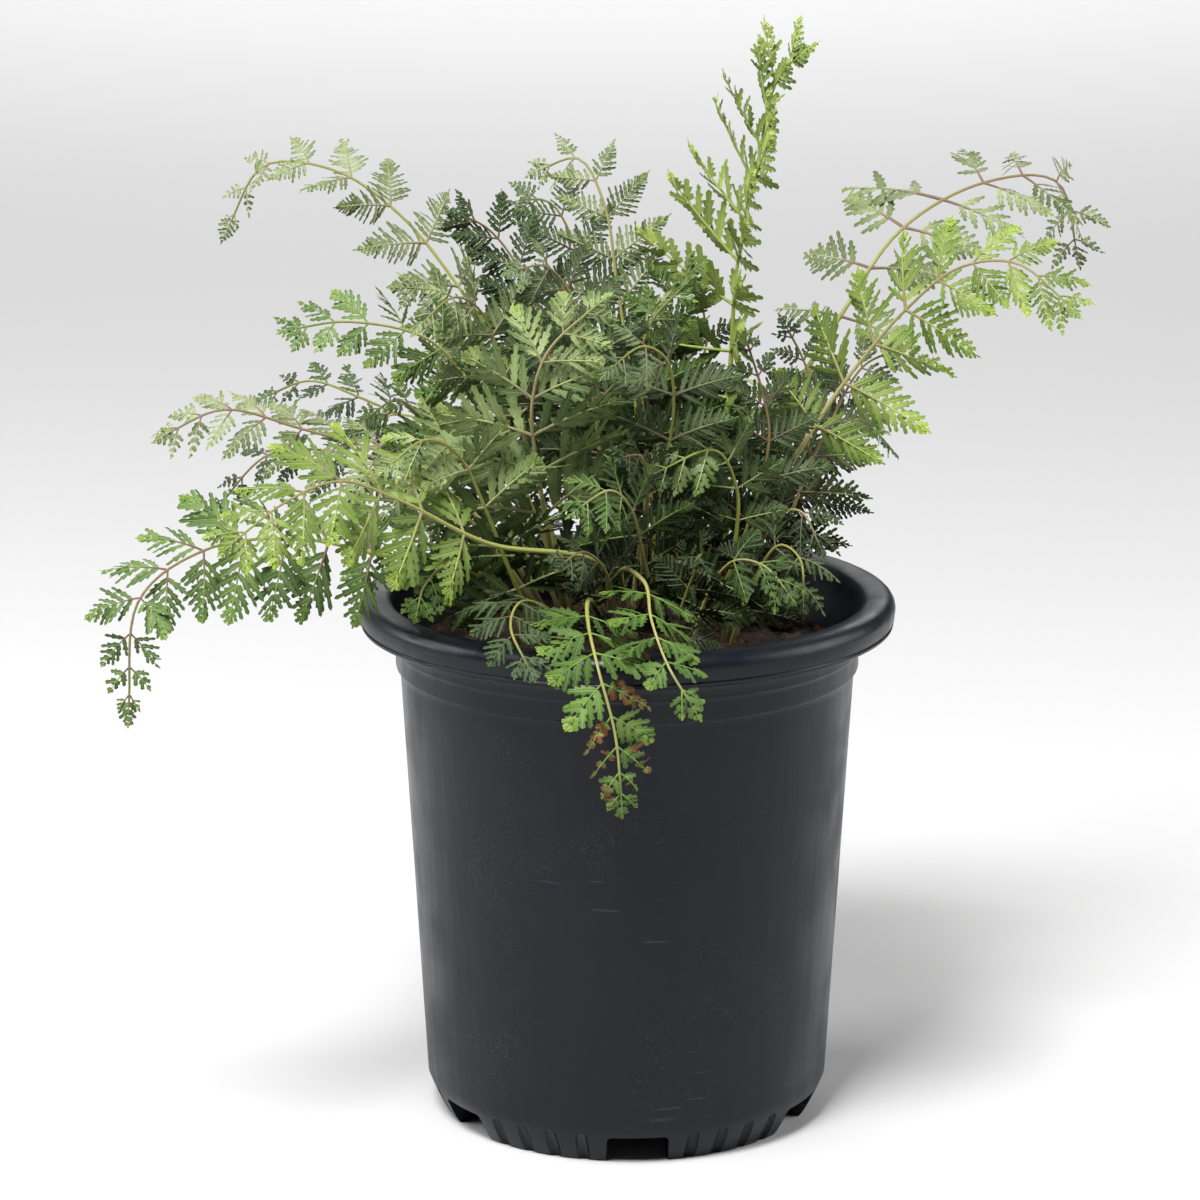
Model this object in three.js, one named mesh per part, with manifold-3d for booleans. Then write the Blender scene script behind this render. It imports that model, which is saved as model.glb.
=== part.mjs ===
// A Japanese painted fern growing in its black nursery pot.
// Millimetres, +Z up. The origin is on the floor, under the middle of the pot.
import * as THREE from "three";
import { mergeVertices } from "three/addons/utils/BufferGeometryUtils.js";
import Module from "manifold-3d";

const wasm = await Module();
wasm.setup();

// Pot, all round the Z axis
const POT_HEIGHT = 168;
const LIP_RADIUS = 84;
const WALL = 1.7;
const SIDES = 36;
const FOOT_RADIUS = 57.5;
const FOOT_DEPTH = 24;
const FOOT_HEIGHT = 9.3;
const FOOT_WALL = 3.2;
const FOOT_SIDE_WALL = 2.4;
const FOOT_FLARE = [3.1, 4.6];
const HEEL_RADIUS = 63.5;
const HEEL_HEIGHT = 12;
const BODY_TOP_RADIUS = 71.2;
const BODY_TOP = 144;
const COLLAR_STEP = 1.3;
const COLLAR_RISE = 1;
const BAND_RADIUS = 73.1;
const BAND_TOP = 151;
const NECK_RADIUS = 75;
const NECK_TOP = 157;
const LIP_ROLL = 4.2;
const LIP_EDGE = 1.2;
const LIP_SLOPE = 0.4;
const FLOOR_CHAMFER = 3;
const CHAMFER_TOP = FOOT_HEIGHT + WALL + FLOOR_CHAMFER;
const SPARE = 1;
const DRAIN_GAPS = 6;
const DRAIN_ANGLE = 20;
const DRAIN_TURN = 3;
const DRAIN_TAPER = 0.95;
const FLUTES_PER_FOOT = 4;
const FLUTE_PITCH = 9.2;
const FLUTE_RADIUS = 2.4;
const FLUTE_LENGTH = 9;
const FLUTE_LEAN = 27;
const FLUTE_MIDDLE = [61.2, 4.1];

// Soil
const SEAT_GAP = 0.3;
const SOIL_EDGE = 149;
const SOIL_MOUND = 4;
const SOIL_LUMP = 1.1;
const SOIL_RINGS = [0.34, 0.64, 0.84];
const ROOT_DEPTH = 22;
const ROOT_GATHER = 0.8;
const SUNK_LENGTH = 31;
const HOLE_GAP = 0.35;

// Fronds. A clearance, a gap or a root is in millimetres, and a sweep or lift in degrees; the rest
// are shares of a length, a spacing or a width.
const BLADE_THICKNESS = 0.75;
const TIP_HALF_WIDTH = 0.5;
const STALK_FLATNESS = 0.85;
const STALK_STEP = 30;
const LEAFLET_ROOT = 1.2;
const ROOT_SHARE = 0.14;
const ROOM_SHARE = 0.46;
const SLIMMEST = 0.12;
const SHORTEST_AT_BASE = 0.75;
const GROWTH = 1.2;
const TAPER_POWER = 2.2;
const LENGTH_DRAW = 0.16;
const SWEEP_DRAW = 10;
const LIFT_DRAW = 14;
const MIDRIB_GAP = 0.5;
const NARROWEST = 0.25;
const SWEEP_BASE = 16;
const LEAFLET_CURL = 0.1;
const MARGIN_DROP = 0.25;
const SPACING_POWER = 1.35;
const CLEARANCE = 0.36;
const OWN_CLEARANCE = 0.18;
const TOUCH_VOLUME = 1e-4;
const FIRST_SEED = 1000;
const SEED_STEP = 37;

const COLOURS = {
  pot: new THREE.MeshStandardMaterial({ color: 0x191c21, roughness: 0.42, metalness: 0 }),
  soil: new THREE.MeshStandardMaterial({ color: 0x2a1d15, roughness: 0.95, metalness: 0 }),
  fern: new THREE.MeshStandardMaterial({ color: 0x5d8a4a, roughness: 0.6, metalness: 0 }),
};

// What a frond has unless it says otherwise: the lift of its leaflets above its plane, in degrees;
// how far a leaflet sags, as a share of its length; how much shorter the last leaflets are than the
// longest; how far the last ones lean towards the tip, in degrees; half the width of the stalk; how
// far the left and the right ones turn towards the tip besides, in degrees; and one leaflet, by its
// pair and its side, -1 for left, that is so many times as long and turns further.
const USUAL = {
  lift: 0, sag: 0.16, taper: 0.9, lean: 46, stem: 1,
  turn: [0, 0], odd: { pair: -1, side: 0, times: 1, turn: 0 },
};

// Each frond: the places its stalk passes through, from the soil's surface to its tip; the share
// of it that is bare; its pairs of leaflets; the longest leaflet; half a leaflet's width as a share
// of its length; and the way its upper side looks.
const FRONDS = [
  {
    name: "frond_tower",
    path: [
      [28, 30, 151], [29, 24, 192], [32, 17, 229], [34, 11, 268],
      [40, 3, 303], [45, -4, 328], [52, -9, 338],
    ],
    bare: 0.42, pairs: 10, reach: 36, width: 0.23,
    face: [-0.76, -0.65, 0.2], lift: 42, sag: 0.02, taper: 0.62, lean: 62, stem: 1.5,
  },
  {
    name: "frond_right_high",
    path: [
      [31, 38, 152], [31, 36, 189], [45, 40, 210], [68, 52, 245],
      [88, 66, 271], [116, 82, 284], [141, 95, 282], [149, 102, 256],
    ],
    bare: 0.47, pairs: 9, reach: 31, width: 0.24,
    face: [-0.3, -0.6, 0.8], lift: 4, sag: 0.22, taper: 0.75, stem: 1.3,
    turn: [-26, -8], odd: { pair: 3, side: -1, times: 1.5, turn: -26 },
  },
  {
    name: "frond_right_mid",
    path: [
      [38, 18, 153], [41, 12, 185], [56, 4, 216], [69, 0, 237],
      [85, -6, 258], [101, -14, 273], [118, -24, 276], [134, -34, 264],
    ],
    bare: 0.42, pairs: 9, reach: 31, width: 0.27,
    face: [-0.1, -0.7, 0.7], sag: 0.2, taper: 0.75, stem: 1.2,
  },
  {
    name: "frond_left_high",
    path: [
      [-11, 30, 150], [-24, 38, 195], [-39, 46, 233], [-55, 52, 257],
      [-72, 58, 277], [-93, 62, 291], [-116, 66, 292], [-129, 70, 270],
    ],
    bare: 0.38, pairs: 10, reach: 29, width: 0.27,
    face: [0.2, -0.5, 0.8], lift: 8, sag: 0.2, taper: 0.95, stem: 1.1,
  },
  {
    name: "frond_left_upper",
    path: [
      [-16, 18, 150], [-31, 18, 193], [-46, 14, 226], [-61, 8, 246], [-86, -2, 254], [-104, -10, 253],
    ],
    bare: 0.4, pairs: 8, reach: 23, width: 0.3,
    face: [0.1, -0.75, 0.65], sag: 0.1, taper: 0.7, stem: 1.1,
  },
  {
    name: "frond_left_mid",
    path: [
      [-21, 6, 150], [-46, 0, 191], [-70, -6, 211], [-101, -14, 223], [-124, -20, 230], [-142, -25, 223],
    ],
    bare: 0.4, pairs: 9, reach: 24, width: 0.27,
    face: [0.1, -0.6, 0.8], lift: -4, sag: 0.3, taper: 0.75,
  },
  {
    name: "frond_left_low",
    path: [
      [-21, -4, 150], [-40, -12, 171], [-58, -22, 183], [-74, -32, 187],
      [-99, -48, 196], [-126, -66, 197], [-145, -80, 185], [-148, -90, 153],
    ],
    bare: 0.42, pairs: 10, reach: 27, width: 0.32,
    face: [0.1, -0.75, 0.65], taper: 0.92,
  },
  {
    name: "frond_left_bright",
    path: [
      [4, -6, 150], [-8, -24, 182], [-42, -46, 194], [-68, -66, 212],
      [-85, -80, 221], [-100, -94, 218], [-116, -108, 208],
    ],
    bare: 0.5, pairs: 7, reach: 30, width: 0.32,
    face: [0.1, -0.7, 0.7], taper: 0.75, stem: 1.1,
  },
  {
    name: "frond_front_mid",
    path: [
      [-16, -4, 150], [-23, -18, 182], [-27, -28, 210], [-29, -40, 236], [-24, -44, 253], [-8, -42, 268],
    ],
    bare: 0.32, pairs: 8, reach: 38, width: 0.3,
    face: [0, -0.95, 0.3], lift: -6, sag: 0.22, stem: 1.4,
  },
  {
    name: "frond_front_left",
    path: [
      [-25, -10, 150], [-36, -22, 179], [-43, -30, 200], [-51, -38, 219], [-61, -50, 227], [-73, -60, 220],
    ],
    bare: 0.3, pairs: 7, reach: 30, width: 0.3,
    face: [0, -0.8, 0.6], sag: 0.2, stem: 1.3,
  },
  {
    name: "frond_over_rim",
    path: [
      [-8, -12, 150], [-9, -20, 165], [-12, -44, 176], [-12, -70, 175],
      [-9, -92, 167], [-4, -96, 148], [-2, -93, 125],
    ],
    bare: 0.5, pairs: 8, reach: 19, width: 0.34,
    face: [0.1, -0.8, 0.7], sag: 0.05, taper: 0.8,
  },
  {
    name: "frond_over_rim_right",
    path: [
      [4, -14, 151], [-2, -24, 180], [5, -46, 182], [7, -76, 177], [12, -96, 168], [19, -99, 157],
    ],
    bare: 0.56, pairs: 5, reach: 17, width: 0.36,
    face: [0.3, -0.6, 0.8], sag: 0.1, taper: 0.7, stem: 0.9,
  },
  {
    name: "frond_small_bright",
    path: [[30, 2, 150], [33, -4, 179], [34, -8, 202], [27, -14, 216], [8, -24, 211]],
    bare: 0.52, pairs: 6, reach: 18, width: 0.3,
    face: [0, -0.8, 0.6], sag: 0.15, taper: 0.7,
  },
  {
    name: "frond_top",
    path: [
      [4, 16, 150], [6, 14, 194], [3, 14, 223], [-3, 16, 261],
      [-7, 22, 286], [-15, 28, 300], [-29, 34, 295],
    ],
    bare: 0.38, pairs: 9, reach: 29, width: 0.25,
    face: [0, -0.9, 0.4], lift: 6, sag: 0.12, taper: 0.85, stem: 1.2,
  },
  {
    name: "frond_top_dark",
    path: [
      [-7, 24, 150], [-17, 28, 204], [-27, 30, 245], [-35, 28, 267], [-44, 24, 279], [-53, 20, 284],
    ],
    bare: 0.42, pairs: 7, reach: 29, width: 0.28,
    face: [0.2, -0.85, 0.5], lift: 6, sag: 0.1, taper: 0.7, stem: 1.1,
  },
  {
    name: "frond_top_back",
    path: [
      [-1, 36, 149], [-7, 42, 201], [-12, 46, 242], [-18, 48, 273], [-25, 50, 283], [-35, 52, 283],
    ],
    bare: 0.42, pairs: 7, reach: 30, width: 0.27,
    face: [0, -0.8, 0.6], lift: 6, sag: 0.12, taper: 0.7, stem: 1.1,
  },
  {
    name: "frond_upper_left_grey",
    path: [
      [-15, 12, 149], [-29, 2, 206], [-38, -8, 240], [-45, -16, 260], [-53, -26, 266], [-63, -36, 259],
    ],
    bare: 0.45, pairs: 7, reach: 28, width: 0.28,
    face: [0.1, -0.8, 0.6], sag: 0.2,
  },
  {
    name: "frond_centre_grey",
    path: [
      [-5, 10, 149], [-8, 0, 207], [-12, -10, 240], [-17, -18, 264], [-25, -28, 276], [-35, -38, 276],
    ],
    bare: 0.45, pairs: 7, reach: 30, width: 0.28,
    face: [0, -0.85, 0.5], lift: -4, sag: 0.2, stem: 1.1,
  },
  {
    name: "frond_centre_right",
    path: [
      [7, 2, 151], [10, -10, 199], [14, -20, 230], [12, -30, 247], [4, -42, 254], [-6, -54, 249],
    ],
    bare: 0.42, pairs: 6, reach: 28, width: 0.28,
    face: [0, -0.85, 0.5], sag: 0.2,
  },
  {
    name: "frond_mid",
    path: [[11, 8, 150], [9, 4, 183], [5, 0, 223], [6, -6, 252], [18, -12, 268]],
    bare: 0.32, pairs: 7, reach: 31, width: 0.26,
    face: [0, -0.95, 0.3], lift: 4, sag: 0.18, stem: 1.2,
  },
  {
    name: "frond_mid_dark",
    path: [[9, 32, 149], [9, 40, 191], [15, 42, 222], [25, 40, 237], [23, 38, 257]],
    bare: 0.36, pairs: 6, reach: 30, width: 0.28,
    face: [0, -0.9, 0.5], lift: 4, sag: 0.14,
  },
  {
    name: "frond_right_grey",
    path: [[23, 6, 150], [36, 0, 184], [44, -2, 217], [42, -4, 231], [36, -8, 251]],
    bare: 0.34, pairs: 7, reach: 26, width: 0.27,
    face: [0, -0.95, 0.3], sag: 0.18,
  },
  {
    name: "frond_right_dark",
    path: [[30, 22, 150], [46, 28, 184], [59, 32, 214], [57, 34, 232], [50, 38, 246]],
    bare: 0.38, pairs: 7, reach: 26, width: 0.27,
    face: [0, -0.9, 0.4], sag: 0.15,
  },
  {
    name: "frond_right_low",
    path: [[34, 8, 150], [41, 6, 178], [47, 2, 192], [54, -2, 194], [60, -8, 184]],
    bare: 0.32, pairs: 6, reach: 19, width: 0.28,
    face: [0.2, -0.8, 0.6], sag: 0.3, taper: 0.7,
  },
  {
    name: "frond_right_rim",
    path: [[32, -4, 150], [39, -12, 174], [47, -18, 187], [53, -24, 184], [54, -30, 171]],
    bare: 0.34, pairs: 5, reach: 19, width: 0.3,
    face: [0.2, -0.8, 0.6], sag: 0.3, taper: 0.7, stem: 0.9,
  },
  {
    name: "frond_low_right",
    path: [[20, -8, 151], [26, -18, 174], [33, -26, 184], [42, -34, 184], [49, -40, 177]],
    bare: 0.36, pairs: 5, reach: 18, width: 0.3,
    face: [0.1, -0.8, 0.6], sag: 0.25, taper: 0.7, stem: 0.9,
  },
  {
    name: "frond_low_centre",
    path: [[12, -8, 150], [5, -20, 183], [1, -34, 202], [-6, -48, 211], [-16, -58, 207]],
    bare: 0.42, pairs: 6, reach: 22, width: 0.3,
    face: [0, -0.8, 0.6], sag: 0.2, taper: 0.7,
  },
  {
    name: "frond_left_back",
    path: [
      [-20, 32, 150], [-47, 34, 199], [-66, 36, 213], [-85, 38, 222], [-101, 40, 227], [-116, 42, 221],
    ],
    bare: 0.42, pairs: 8, reach: 22, width: 0.3,
    face: [0.2, -0.6, 0.8], sag: 0.12, stem: 0.9,
  },
  {
    name: "frond_left_dark",
    path: [
      [-24, 12, 150], [-49, 10, 188], [-71, 8, 205], [-93, 8, 211], [-112, 8, 210], [-130, 8, 191],
    ],
    bare: 0.36, pairs: 8, reach: 21, width: 0.26,
    face: [0.2, -0.6, 0.8], sag: 0.3, stem: 0.9,
  },
  {
    name: "frond_left_fill",
    path: [[-25, 24, 150], [-43, 26, 191], [-59, 26, 211], [-72, 24, 224], [-83, 20, 218]],
    bare: 0.36, pairs: 6, reach: 24, width: 0.3,
    face: [0.2, -0.7, 0.7], sag: 0.2,
  },
  {
    name: "frond_rim_grey",
    path: [[-19, -18, 151], [-22, -24, 165], [-32, -50, 177], [-35, -76, 175], [-29, -94, 167]],
    bare: 0.42, pairs: 5, reach: 17, width: 0.34,
    face: [0, -0.6, 0.8], sag: 0.2, taper: 0.7, stem: 0.9,
  },
  {
    name: "frond_rim_left",
    path: [[-26, 2, 150], [-49, -8, 178], [-66, -12, 187], [-78, -16, 184], [-84, -20, 176]],
    bare: 0.42, pairs: 5, reach: 18, width: 0.32,
    face: [0.2, -0.7, 0.7], sag: 0.3, taper: 0.7, stem: 0.9,
  },
  {
    name: "frond_rim_green",
    path: [[-31, -6, 150], [-44, -20, 176], [-56, -30, 183], [-62, -38, 179], [-64, -46, 173]],
    bare: 0.42, pairs: 5, reach: 16, width: 0.32,
    face: [0.2, -0.7, 0.7], sag: 0.2, taper: 0.7, stem: 0.9,
  },
  {
    name: "frond_back_left",
    path: [[-8, 42, 150], [-18, 56, 191], [-33, 74, 217], [-54, 92, 227], [-74, 105, 218]],
    bare: 0.38, pairs: 7, reach: 31, width: 0.3,
    face: [0.3, -0.4, 0.9], stem: 1.1,
  },
  {
    name: "frond_back",
    path: [[1, 48, 150], [-1, 66, 189], [-5, 84, 215], [-9, 98, 231], [-12, 108, 226]],
    bare: 0.38, pairs: 7, reach: 31, width: 0.3,
    face: [0, -0.4, 0.9], stem: 1.1,
  },
  {
    name: "frond_back_right",
    path: [[11, 44, 150], [20, 60, 187], [32, 78, 206], [48, 94, 212], [58, 105, 202]],
    bare: 0.38, pairs: 7, reach: 31, width: 0.3,
    face: [-0.3, -0.4, 0.9], stem: 1.1,
  },
  {
    name: "frond_right_back",
    path: [[24, 44, 150], [38, 58, 187], [52, 72, 211], [61, 86, 221], [70, 98, 212]],
    bare: 0.38, pairs: 6, reach: 27, width: 0.3,
    face: [-0.3, -0.4, 0.9],
  },
  {
    name: "frond_back_low_left",
    path: [[-13, 50, 150], [-24, 62, 170], [-38, 76, 178], [-54, 88, 172]],
    bare: 0.34, pairs: 5, reach: 20, width: 0.32,
    face: [0.3, -0.3, 0.9], sag: 0.2, taper: 0.7, stem: 0.9,
  },
  {
    name: "frond_back_low_right",
    path: [[17, 52, 150], [28, 62, 170], [42, 74, 178], [58, 86, 170]],
    bare: 0.34, pairs: 5, reach: 20, width: 0.32,
    face: [-0.3, -0.3, 0.9], sag: 0.2, taper: 0.7, stem: 0.9,
  },
  {
    name: "frond_low_dark",
    path: [[12, -20, 149], [16, -28, 168], [20, -36, 182], [22, -44, 190], [20, -52, 190]],
    bare: 0.36, pairs: 6, reach: 18, width: 0.3,
    face: [0, -0.8, 0.6], sag: 0.2, taper: 0.7, stem: 0.9,
  },
  {
    name: "frond_low_grey",
    path: [[-2, -21, 149], [-4, -30, 172], [-8, -40, 186], [-14, -48, 192], [-20, -56, 190]],
    bare: 0.36, pairs: 6, reach: 19, width: 0.3,
    face: [0, -0.8, 0.6], sag: 0.2, taper: 0.7, stem: 0.9,
  },
  {
    name: "frond_mid_inner",
    path: [[1, -2, 150], [3, -12, 180], [6, -22, 205], [4, -32, 218], [-2, -42, 220]],
    bare: 0.4, pairs: 7, reach: 23, width: 0.28,
    face: [0, -0.85, 0.5], sag: 0.2, taper: 0.8,
  },
  {
    name: "frond_right_inner",
    path: [[18, 15, 150], [26, 10, 185], [33, 4, 212], [37, -6, 227], [34, -18, 230]],
    bare: 0.4, pairs: 7, reach: 24, width: 0.28,
    face: [0, -0.85, 0.5], sag: 0.2, taper: 0.8,
  },
  {
    name: "frond_upper_gap",
    path: [[17, 25, 150], [13, 22, 200], [11, 18, 240], [14, 12, 262], [22, 6, 270]],
    bare: 0.4, pairs: 7, reach: 27, width: 0.27,
    face: [0, -0.9, 0.4], lift: 4, sag: 0.16, taper: 0.8,
  },
  {
    name: "frond_right_fill",
    path: [[42, 27, 149], [52, 21, 188], [63, 18, 216], [74, 18, 236], [84, 14, 242]],
    bare: 0.4, pairs: 7, reach: 24, width: 0.28,
    face: [0, -0.8, 0.6], lift: 4, sag: 0.18, taper: 0.8,
  },
  {
    name: "frond_top_left",
    path: [[-29, 38, 149], [-37, 43, 200], [-48, 42, 236], [-60, 40, 255], [-72, 36, 258]],
    bare: 0.42, pairs: 7, reach: 25, width: 0.28,
    face: [0.2, -0.75, 0.6], lift: 4, sag: 0.16, taper: 0.8,
  },
  {
    name: "frond_back_mid",
    path: [[6, 57, 149], [4, 66, 190], [8, 78, 220], [14, 88, 236], [22, 96, 236]],
    bare: 0.38, pairs: 7, reach: 27, width: 0.3,
    face: [0, -0.4, 0.9],
  },
  {
    name: "frond_back_far_right",
    path: [[35, 53, 149], [46, 60, 184], [60, 70, 203], [76, 80, 206], [88, 88, 194]],
    bare: 0.36, pairs: 7, reach: 25, width: 0.3,
    face: [-0.3, -0.3, 0.9],
  },
  {
    name: "frond_back_far_left",
    path: [[-29, 49, 149], [-44, 56, 188], [-62, 66, 207], [-80, 76, 208], [-92, 84, 196]],
    bare: 0.38, pairs: 7, reach: 25, width: 0.3,
    face: [0.3, -0.3, 0.9],
  },
];

// A leaflet's cut edge, by how long it is: the tips and the notches of one side's lobes, each as
// its share of the leaflet's length and of its half width.
const LOBES = [
  { from: 29, tips: [[0.25, 0.95], [0.52, 0.84], [0.76, 0.48]], notches: [[0.33, 0.42], [0.6, 0.34]] },
  { from: 20, tips: [[0.3, 1], [0.64, 0.68]], notches: [[0.44, 0.42]] },
  { from: 9.5, tips: [[0.38, 0.95]], notches: [] },
  { from: 0, tips: [], notches: [] },
];

// The ways a leaflet is bent to pass clear of what is in its way, the slightest first: shorter,
// tilted out of the frond's plane, or turned within it, in degrees.
const BENDS = [1, 0.8, 0.62, 0.46].flatMap((share) =>
  [0, 14, -14, 28, -28, 42, -42, 58, -58].flatMap((tilt) =>
    [0, 15, -15].map((turn) => ({ share, tilt, turn })),
  ),
);

const radians = THREE.MathUtils.degToRad;
const lerp = THREE.MathUtils.lerp;
const UP = new THREE.Vector3(0, 0, 1);

// A small generator of even draws from 0 to 1, the same for a seed every time.
function draws(seed) {
  let state = seed >>> 0;
  return () => {
    state = (state + 0x6d2b79f5) >>> 0;
    let mixed = state;
    mixed = Math.imul(mixed ^ (mixed >>> 15), mixed | 1);
    mixed ^= mixed + Math.imul(mixed ^ (mixed >>> 7), mixed | 61);
    return ((mixed ^ (mixed >>> 14)) >>> 0) / 4294967296;
  };
}

// A closed three.js geometry as a solid, and a solid as a geometry.
function toSolid(geometry) {
  const bare = new THREE.BufferGeometry().setAttribute("position", geometry.getAttribute("position").clone());
  bare.setIndex(geometry.getIndex());
  const merged = mergeVertices(bare, 1e-3);
  return new wasm.Manifold(
    new wasm.Mesh({
      numProp: 3,
      vertProperties: new Float32Array(merged.getAttribute("position").array),
      triVerts: new Uint32Array(merged.getIndex().array),
    }),
  );
}

function toGeometry(solid) {
  const mesh = solid.getMesh();
  const geometry = new THREE.BufferGeometry();
  geometry.setAttribute("position", new THREE.BufferAttribute(mesh.vertProperties, 3));
  geometry.setIndex(new THREE.BufferAttribute(mesh.triVerts, 1));
  return geometry;
}

// A lathed form round Z from a path of radii and heights.
function lathe(path, sides) {
  return new THREE.LatheGeometry(path.getPoints(2), sides).rotateX(Math.PI / 2);
}

// The radius of the pot's inner wall at a height.
function innerRadius(height) {
  const share = (height - HEEL_HEIGHT) / (BODY_TOP - HEEL_HEIGHT);
  return lerp(HEEL_RADIUS, BODY_TOP_RADIUS, share) - WALL;
}

// The wall, the raised floor and the curled lip, before the foot is cut.
function potBlank() {
  const rollMiddle = new THREE.Vector2(LIP_RADIUS - LIP_ROLL, POT_HEIGHT - LIP_ROLL);
  const path = new THREE.Path();
  path.moveTo(0, FOOT_HEIGHT);
  path.lineTo(FOOT_RADIUS - FOOT_DEPTH, FOOT_HEIGHT);
  path.lineTo(FOOT_RADIUS - FOOT_DEPTH, 0);
  path.lineTo(FOOT_RADIUS, 0);
  path.quadraticCurveTo(FOOT_RADIUS + FOOT_FLARE[0], FOOT_FLARE[1], HEEL_RADIUS, HEEL_HEIGHT);
  path.lineTo(BODY_TOP_RADIUS, BODY_TOP);
  path.lineTo(BODY_TOP_RADIUS + COLLAR_STEP, BODY_TOP + COLLAR_RISE);
  path.lineTo(BAND_RADIUS, BAND_TOP);
  path.lineTo(NECK_RADIUS, NECK_TOP);
  path.lineTo(LIP_RADIUS - LIP_EDGE, NECK_TOP + LIP_EDGE);
  path.absarc(rollMiddle.x, rollMiddle.y, LIP_ROLL, 0, Math.PI / 2, false);
  path.lineTo(NECK_RADIUS, POT_HEIGHT - LIP_SLOPE);
  path.lineTo(NECK_RADIUS - WALL, POT_HEIGHT - LIP_ROLL);
  path.lineTo(innerRadius(BAND_TOP), BAND_TOP);
  path.lineTo(innerRadius(CHAMFER_TOP), CHAMFER_TOP);
  path.lineTo(innerRadius(CHAMFER_TOP) - FLOOR_CHAMFER, FOOT_HEIGHT + WALL);
  path.lineTo(0, FOOT_HEIGHT + WALL);
  return toSolid(lathe(path, SIDES));
}

// A blank as deep as the feet and one drain gap wide, narrower at its top; more makes it wider.
function drainCutter(angle, more = 0) {
  const depth = HEEL_RADIUS - (FOOT_RADIUS - FOOT_DEPTH) + 2 * SPARE;
  const half = FOOT_RADIUS * Math.tan(radians(DRAIN_ANGLE / 2));
  const shape = new THREE.Shape();
  shape.moveTo(-half - more, -SPARE);
  shape.lineTo(half + more, -SPARE);
  shape.lineTo(half * DRAIN_TAPER + more, FOOT_HEIGHT);
  shape.lineTo(-half * DRAIN_TAPER - more, FOOT_HEIGHT);
  const geometry = new THREE.ExtrudeGeometry(shape, { depth, bevelEnabled: false });
  geometry.rotateX(Math.PI / 2);
  geometry.translate(0, -(FOOT_RADIUS - FOOT_DEPTH - SPARE), 0);
  return toSolid(geometry.rotateZ(angle));
}

// A blank that hollows the feet from below, before what stands beside the drain gaps is taken off it.
function hollowCutter() {
  const inner = FOOT_RADIUS - FOOT_DEPTH + FOOT_WALL;
  const outer = FOOT_RADIUS - FOOT_WALL;
  const path = new THREE.Path();
  path.moveTo(inner, -SPARE);
  path.lineTo(outer, -SPARE);
  path.lineTo(outer, FOOT_HEIGHT);
  path.lineTo(inner, FOOT_HEIGHT);
  path.lineTo(inner, -SPARE);
  return toSolid(lathe(path, SIDES));
}

// A blank that presses one flute into the slant of the foot.
function fluteCutter(angle) {
  const geometry = new THREE.CapsuleGeometry(FLUTE_RADIUS, FLUTE_LENGTH, 2, 8);
  geometry.rotateX(Math.PI / 2 + radians(FLUTE_LEAN));
  geometry.translate(0, -FLUTE_MIDDLE[0], FLUTE_MIDDLE[1]);
  return toSolid(geometry.rotateZ(angle));
}

function makePot() {
  let pot = potBlank();
  let hollows = hollowCutter();
  const pitch = FLUTE_PITCH / FOOT_RADIUS;
  for (let foot = 0; foot < DRAIN_GAPS; foot++) {
    const gap = radians(DRAIN_TURN) + (foot * 2 * Math.PI) / DRAIN_GAPS;
    pot = pot.subtract(drainCutter(gap));
    hollows = hollows.subtract(drainCutter(gap, FOOT_SIDE_WALL));
    for (let flute = 0; flute < FLUTES_PER_FOOT; flute++) {
      const offset = (flute - (FLUTES_PER_FOOT - 1) / 2) * pitch;
      pot = pot.subtract(fluteCutter(gap + Math.PI / DRAIN_GAPS + offset));
    }
  }
  return pot.subtract(hollows);
}

// The height of the soil's surface, a low uneven mound.
function soilHeight(x, y) {
  const share = Math.min(1, Math.hypot(x, y) / innerRadius(SOIL_EDGE));
  const lumps = Math.sin(x * 0.19 + 1) * Math.cos(y * 0.23) + Math.sin(x * 0.11 - y * 0.13);
  return SOIL_EDGE + SOIL_MOUND * (1 - share * share) + SOIL_LUMP * lumps * (1 - share);
}

function soilBlank() {
  const floor = FOOT_HEIGHT + WALL + SEAT_GAP;
  const edge = innerRadius(SOIL_EDGE) - SEAT_GAP;
  const path = new THREE.Path();
  path.moveTo(0, floor);
  path.lineTo(innerRadius(CHAMFER_TOP) - FLOOR_CHAMFER - 2 * SEAT_GAP, floor);
  path.lineTo(innerRadius(CHAMFER_TOP) - SEAT_GAP, CHAMFER_TOP);
  path.lineTo(edge, SOIL_EDGE);
  for (const ring of [...SOIL_RINGS].reverse()) path.lineTo(edge * ring, SOIL_EDGE);
  path.lineTo(0, SOIL_EDGE);
  const geometry = lathe(path, SIDES / 2);
  const place = geometry.getAttribute("position");
  for (let i = 0; i < place.count; i++) {
    const onTop = place.getZ(i) > SOIL_EDGE - SEAT_GAP;
    const inside = Math.hypot(place.getX(i), place.getY(i)) < edge - SEAT_GAP;
    if (onTop && inside) place.setZ(i, soilHeight(place.getX(i), place.getY(i)));
  }
  return toSolid(geometry);
}

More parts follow.
